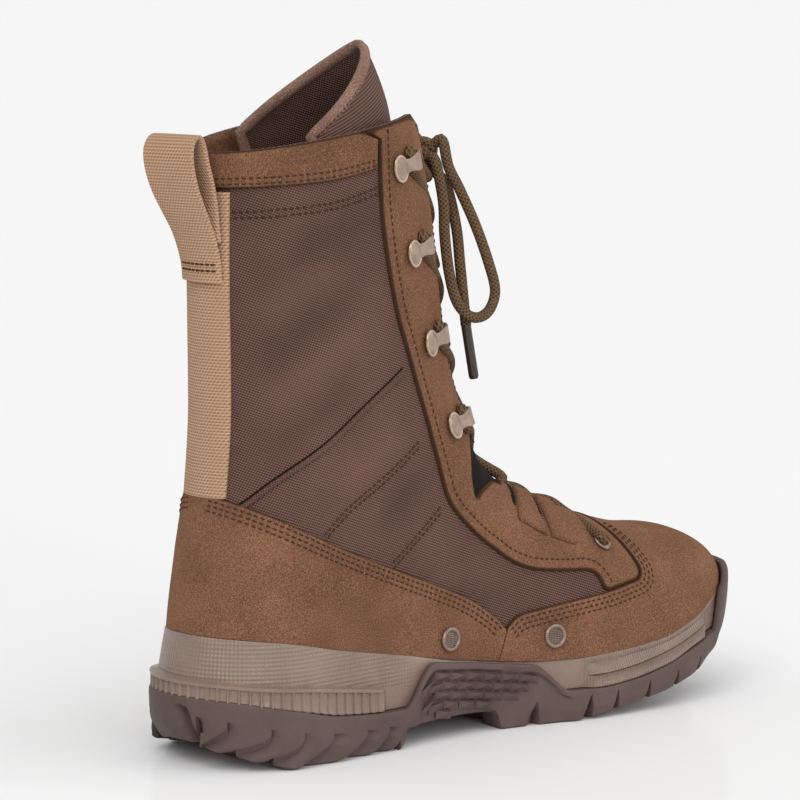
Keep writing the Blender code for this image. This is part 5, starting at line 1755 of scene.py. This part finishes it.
class BOOT_OT_lace(Operator):
    """Lace over the tongue, through the eyelets, under the strips and round the hooks up to the knot"""
    bl_idname = "boot.lace"
    bl_label = "Lace"

    def execute(self, context):
        radius = context.scene.boot_sizes.lace / MM / 2
        mesh = Mesh()
        for start in (MEDIAL, LATERAL):
            path = self.route(start)
            tube(mesh, resample(smooth_line(path), 1.3), radius, 0, 12)
        mesh.make("lace_run", ["lace"], "lace", "lace_crossings")
        return {"FINISHED"}

    def anchors(self, number, row, side):
        """Where the lace is held beside the throat, in order upwards."""
        if number == 0:
            eyelet = place_on(*EYELET, side)
            return [np.array(eyelet @ Vector(spot)) for spot in EYELET_SPOTS]
        if number < HOOKED_FROM:
            return [throat_point(row + step, side, half, lift) for step, half, lift in STRIP_SPOTS]
        hook = place_on(*HOOKS[number - HOOKED_FROM], side, HOOK_WAY)
        spots = [(HOOK_SPOT["ahead"], step * -side, HOOK_SPOT["up"]) for step in HOOK_SPOT["steps"]]
        return [np.array(hook @ Vector(spot)) for spot in spots]

    def route(self, start):
        """Points of one half of the lace, from the eyelet of one side, with a crossing after every turn."""
        rows = np.interp(LACE_TURNS, ROWS.values[::-1, 2], ROWS.values[::-1, 0])
        over = 1 if start == MEDIAL else -1
        path = []
        side = start
        for number, row in enumerate(rows):
            held = self.anchors(number, row, side)
            if number:
                lift = LACE_EDGE["low"] if number < HOOKED_FROM else LACE_EDGE["before_hook"]
                path.append(throat_point(row - 0.12, side, LACE_EDGE["half"], lift))
            path += held
            if number < len(rows) - 1:
                lift = LACE_EDGE["low"] if number < HOOKED_FROM - 1 else LACE_EDGE["after_turn"]
                path.append(throat_point(row + 0.2, side, LACE_EDGE["half"], lift))
                level, step = LACE_CROSSING["low" if number < HOOKED_FROM else "high"]
                height = level + step * over * (-1) ** number
                path.append(throat_point((row + rows[number + 1]) / 2 + 0.05, side, 0.4, height))
                side = -side
        path.append(throat_point(rows[-1] + 0.4, side, LACE_EDGE["half"], LACE_EDGE["top"]))
        path.append(knot_exit(LACE_ENTERS, side, 0.0))
        return path


class BOOT_OT_bow(Operator):
    """Knot, loops and ends of the bow, with an aglet on each end"""
    bl_idname = "boot.bow"
    bl_label = "Bow"

    def execute(self, context):
        radius = context.scene.boot_sizes.lace / MM / 2
        mesh = Mesh()
        turn = np.linspace(0, 2 * math.pi, 120)
        wide = 1.0 + 0.45 * np.cos(3 * turn)
        deep = 1.9 * np.sin(3 * turn) + 0.4
        knot = np.column_stack([deep, 3.6 * wide * np.cos(2 * turn), 3.2 * wide * np.sin(2 * turn)])
        tube(mesh, knot + KNOT["centre"], radius, 0, 12, caps=False)
        mesh.make("knot_braid", ["lace"], "lace", "lace_knot")
        for name, side in SIDES.items():
            mirror = np.array((1, side, 1))
            loop = [knot_exit(BOW_LOOP["leaves"], side, extra) for extra in OUT_OF_KNOT]
            loop += [np.array(point) * mirror for point in BOW_LOOP["route"]]
            loop += [knot_exit(BOW_LOOP["returns"], side, extra) for extra in reversed(OUT_OF_KNOT)]
            self.cord(f"bow_loop_{name}", f"lace_loop_{name}", loop, radius, "knot")
            end = [knot_exit(BOW_END["leaves"], side, extra) for extra in OUT_OF_KNOT]
            end += [np.array(point) * mirror for point in BOW_END["route"]]
            tip = np.array(AGLET_END) * mirror
            mesh = Mesh()
            line = resample(np.array([end[-1] - (tip - end[-1]) * 0.06, tip]), 0.6)
            ends = np.minimum(lengths(line), lengths(line)[-1] - lengths(line))
            tube(mesh, line, AGLET_RADIUS * (0.82 + 0.18 * np.minimum(ends / 1.0, 1)) + 0.15, 0, 16)
            aglet = mesh.make(f"aglet_tip_{name}", ["aglet"], "aglet", f"aglet_{name}")
            self.cord(f"bow_end_{name}", f"lace_end_{name}", end, radius, "fitting", (aglet,))
        return {"FINISHED"}

    def cord(self, name, node, route, radius, far_end, pieces=()):
        mesh = Mesh()
        path = resample(smooth_line(route), 1.3)
        tube(mesh, path, radius, 0, 12)
        obj = mesh.make(name, ["lace"], "lace", node)
        line = (path + ORIGIN_SHIFT) * MM
        points = resample(line, 0.006)
        float(lengths(line)[-1])


# Lamps: name, the direction that the light comes from, its spread in degrees and its power.
LAMPS = [
    ("key", (-1.0, -0.75, 1.15), 45, 1.15),
    ("fill", (0.9, -1.0, 0.8), 70, 0.7),
    ("glint", (-0.3, -0.95, 0.3), 16, 0.45),
]
WORLD_LIGHT = 0.67
CAMERA = {
    "place": (-1136.1, -1251.7, 350.0), "target": (-9.0, 0.0, 120.0), "lens": 180.7,
    "shift": (-0.0388, 0.051),
}


class BOOT_OT_stage(Operator):
    """Pale floor, soft studio light and the camera"""
    bl_idname = "boot.stage"
    bl_label = "Stage"

    def execute(self, context):
        scene = context.scene
        world = bpy.data.worlds.new("studio")
        world.use_nodes = True
        background = world.node_tree.nodes["Background"]
        background.inputs[0].default_value = (1.0, 1.0, 1.0, 1.0)
        background.inputs[1].default_value = WORLD_LIGHT
        scene.world = world
        bpy.ops.mesh.primitive_plane_add(size=80)
        floor = context.object
        floor.name = "floor"
        look = Look("floor_paper", (0.9, 0.9, 0.9), 0.5)
        look.set("Specular IOR Level", 0.0)
        look.set("Coat Weight", 0.25)
        look.set("Coat Roughness", 0.12)
        floor.data.materials.append(look.material)
        for lamp in LAMPS:
            self.lamp(*lamp)
        target = (np.array(CAMERA["target"]) + ORIGIN_SHIFT) * MM
        place = (np.array(CAMERA["place"]) + ORIGIN_SHIFT) * MM
        data = bpy.data.cameras.new("camera")
        data.sensor_width = 36.0
        data.lens = CAMERA["lens"]
        data.shift_x, data.shift_y = CAMERA["shift"]
        data.clip_end = 200
        camera = bpy.data.objects.new("camera", data)
        scene.collection.objects.link(camera)
        camera.location = place
        camera.rotation_euler = (Vector(target) - Vector(place)).to_track_quat("-Z", "Y").to_euler()
        scene.camera = camera
        scene.view_settings.view_transform = "Standard"
        return {"FINISHED"}

    def lamp(self, name, way, spread, power):
        """A wide soft lamp that shines from a direction."""
        data = bpy.data.lights.new(name, "SUN")
        data.angle = math.radians(spread)
        data.energy = power
        lamp = bpy.data.objects.new(name, data)
        bpy.context.scene.collection.objects.link(lamp)
        lamp.rotation_euler = (-Vector(way)).to_track_quat("-Z", "Y").to_euler()


def colour(name, description, default):
    return FloatVectorProperty(name=name, description=description, subtype="COLOR", default=default)


class BootColours(PropertyGroup):
    """Colours of the boot's materials"""
    suede: colour("Suede", "Napped suede of the overlays", (0.187, 0.090, 0.050))
    nylon: colour("Nylon", "Twill of the shaft", (0.116, 0.059, 0.045))
    webbing: colour("Webbing", "Tape and pull loop at the back", (0.540, 0.330, 0.205))
    rubber: colour("Outsole", "Rubber of the outsole", (0.091, 0.056, 0.048))
    midsole: colour("Midsole", "Satin rubber of the midsole", (0.225, 0.156, 0.120))
    metal: colour("Metal", "Painted hooks and rings", (0.320, 0.232, 0.180))
    lace: colour("Lace", "Round braid of the lace", (0.155, 0.092, 0.048))
    lining: colour("Lining", "Inside of the boot", (0.050, 0.033, 0.027))
    thread: colour("Thread", "Stitches", (0.060, 0.030, 0.018))
    binding: colour("Binding", "Edge of the tongue", (0.240, 0.140, 0.105))


class BootSizes(PropertyGroup):
    """Sizes of the boot's materials"""
    suede: FloatProperty(name="Suede", description="Thickness of the suede", default=0.0017, unit="LENGTH")
    webbing: FloatProperty(name="Webbing", description="Width of the webbing", default=0.025, unit="LENGTH")
    lace: FloatProperty(name="Lace", description="Diameter of the lace", default=0.0046, unit="LENGTH")


class BOOT_PT_panel(Panel):
    """Sidebar with the boot's pieces"""
    bl_idname = "BOOT_PT_panel"
    bl_label = "Tactical boot"
    bl_space_type = "VIEW_3D"
    bl_region_type = "UI"
    bl_category = "Boot"

    def draw(self, context):
        for group in (context.scene.boot_sizes, context.scene.boot_colours):
            for name in group.bl_rna.properties.keys():
                if name not in ("rna_type", "name"):
                    self.layout.prop(group, name)
        for operator in OPERATORS:
            self.layout.operator(operator.bl_idname)


OPERATORS = [
    BOOT_OT_stage, BOOT_OT_upper, BOOT_OT_overlays, BOOT_OT_webbing, BOOT_OT_tongue, BOOT_OT_midsole,
    BOOT_OT_outsole, BOOT_OT_insole, BOOT_OT_hooks, BOOT_OT_rings, BOOT_OT_lace, BOOT_OT_bow,
]
CLASSES = [BootColours, BootSizes, *OPERATORS, BOOT_PT_panel]


def register():
    for kind in CLASSES:
        bpy.utils.register_class(kind)
    bpy.types.Scene.boot_colours = PointerProperty(type=BootColours)
    bpy.types.Scene.boot_sizes = PointerProperty(type=BootSizes)


def unregister():
    del bpy.types.Scene.boot_sizes
    del bpy.types.Scene.boot_colours
    for kind in reversed(CLASSES):
        bpy.utils.unregister_class(kind)


def main():
    register()
    bpy.ops.boot.stage()
    bpy.ops.boot.upper()
    bpy.ops.boot.overlays()
    bpy.ops.boot.webbing()
    bpy.ops.boot.tongue()
    bpy.ops.boot.midsole()
    bpy.ops.boot.outsole()
    bpy.ops.boot.insole()
    bpy.ops.boot.hooks()
    bpy.ops.boot.rings()
    bpy.ops.boot.lace()
    bpy.ops.boot.bow()


if __name__ == "__main__":
    main()
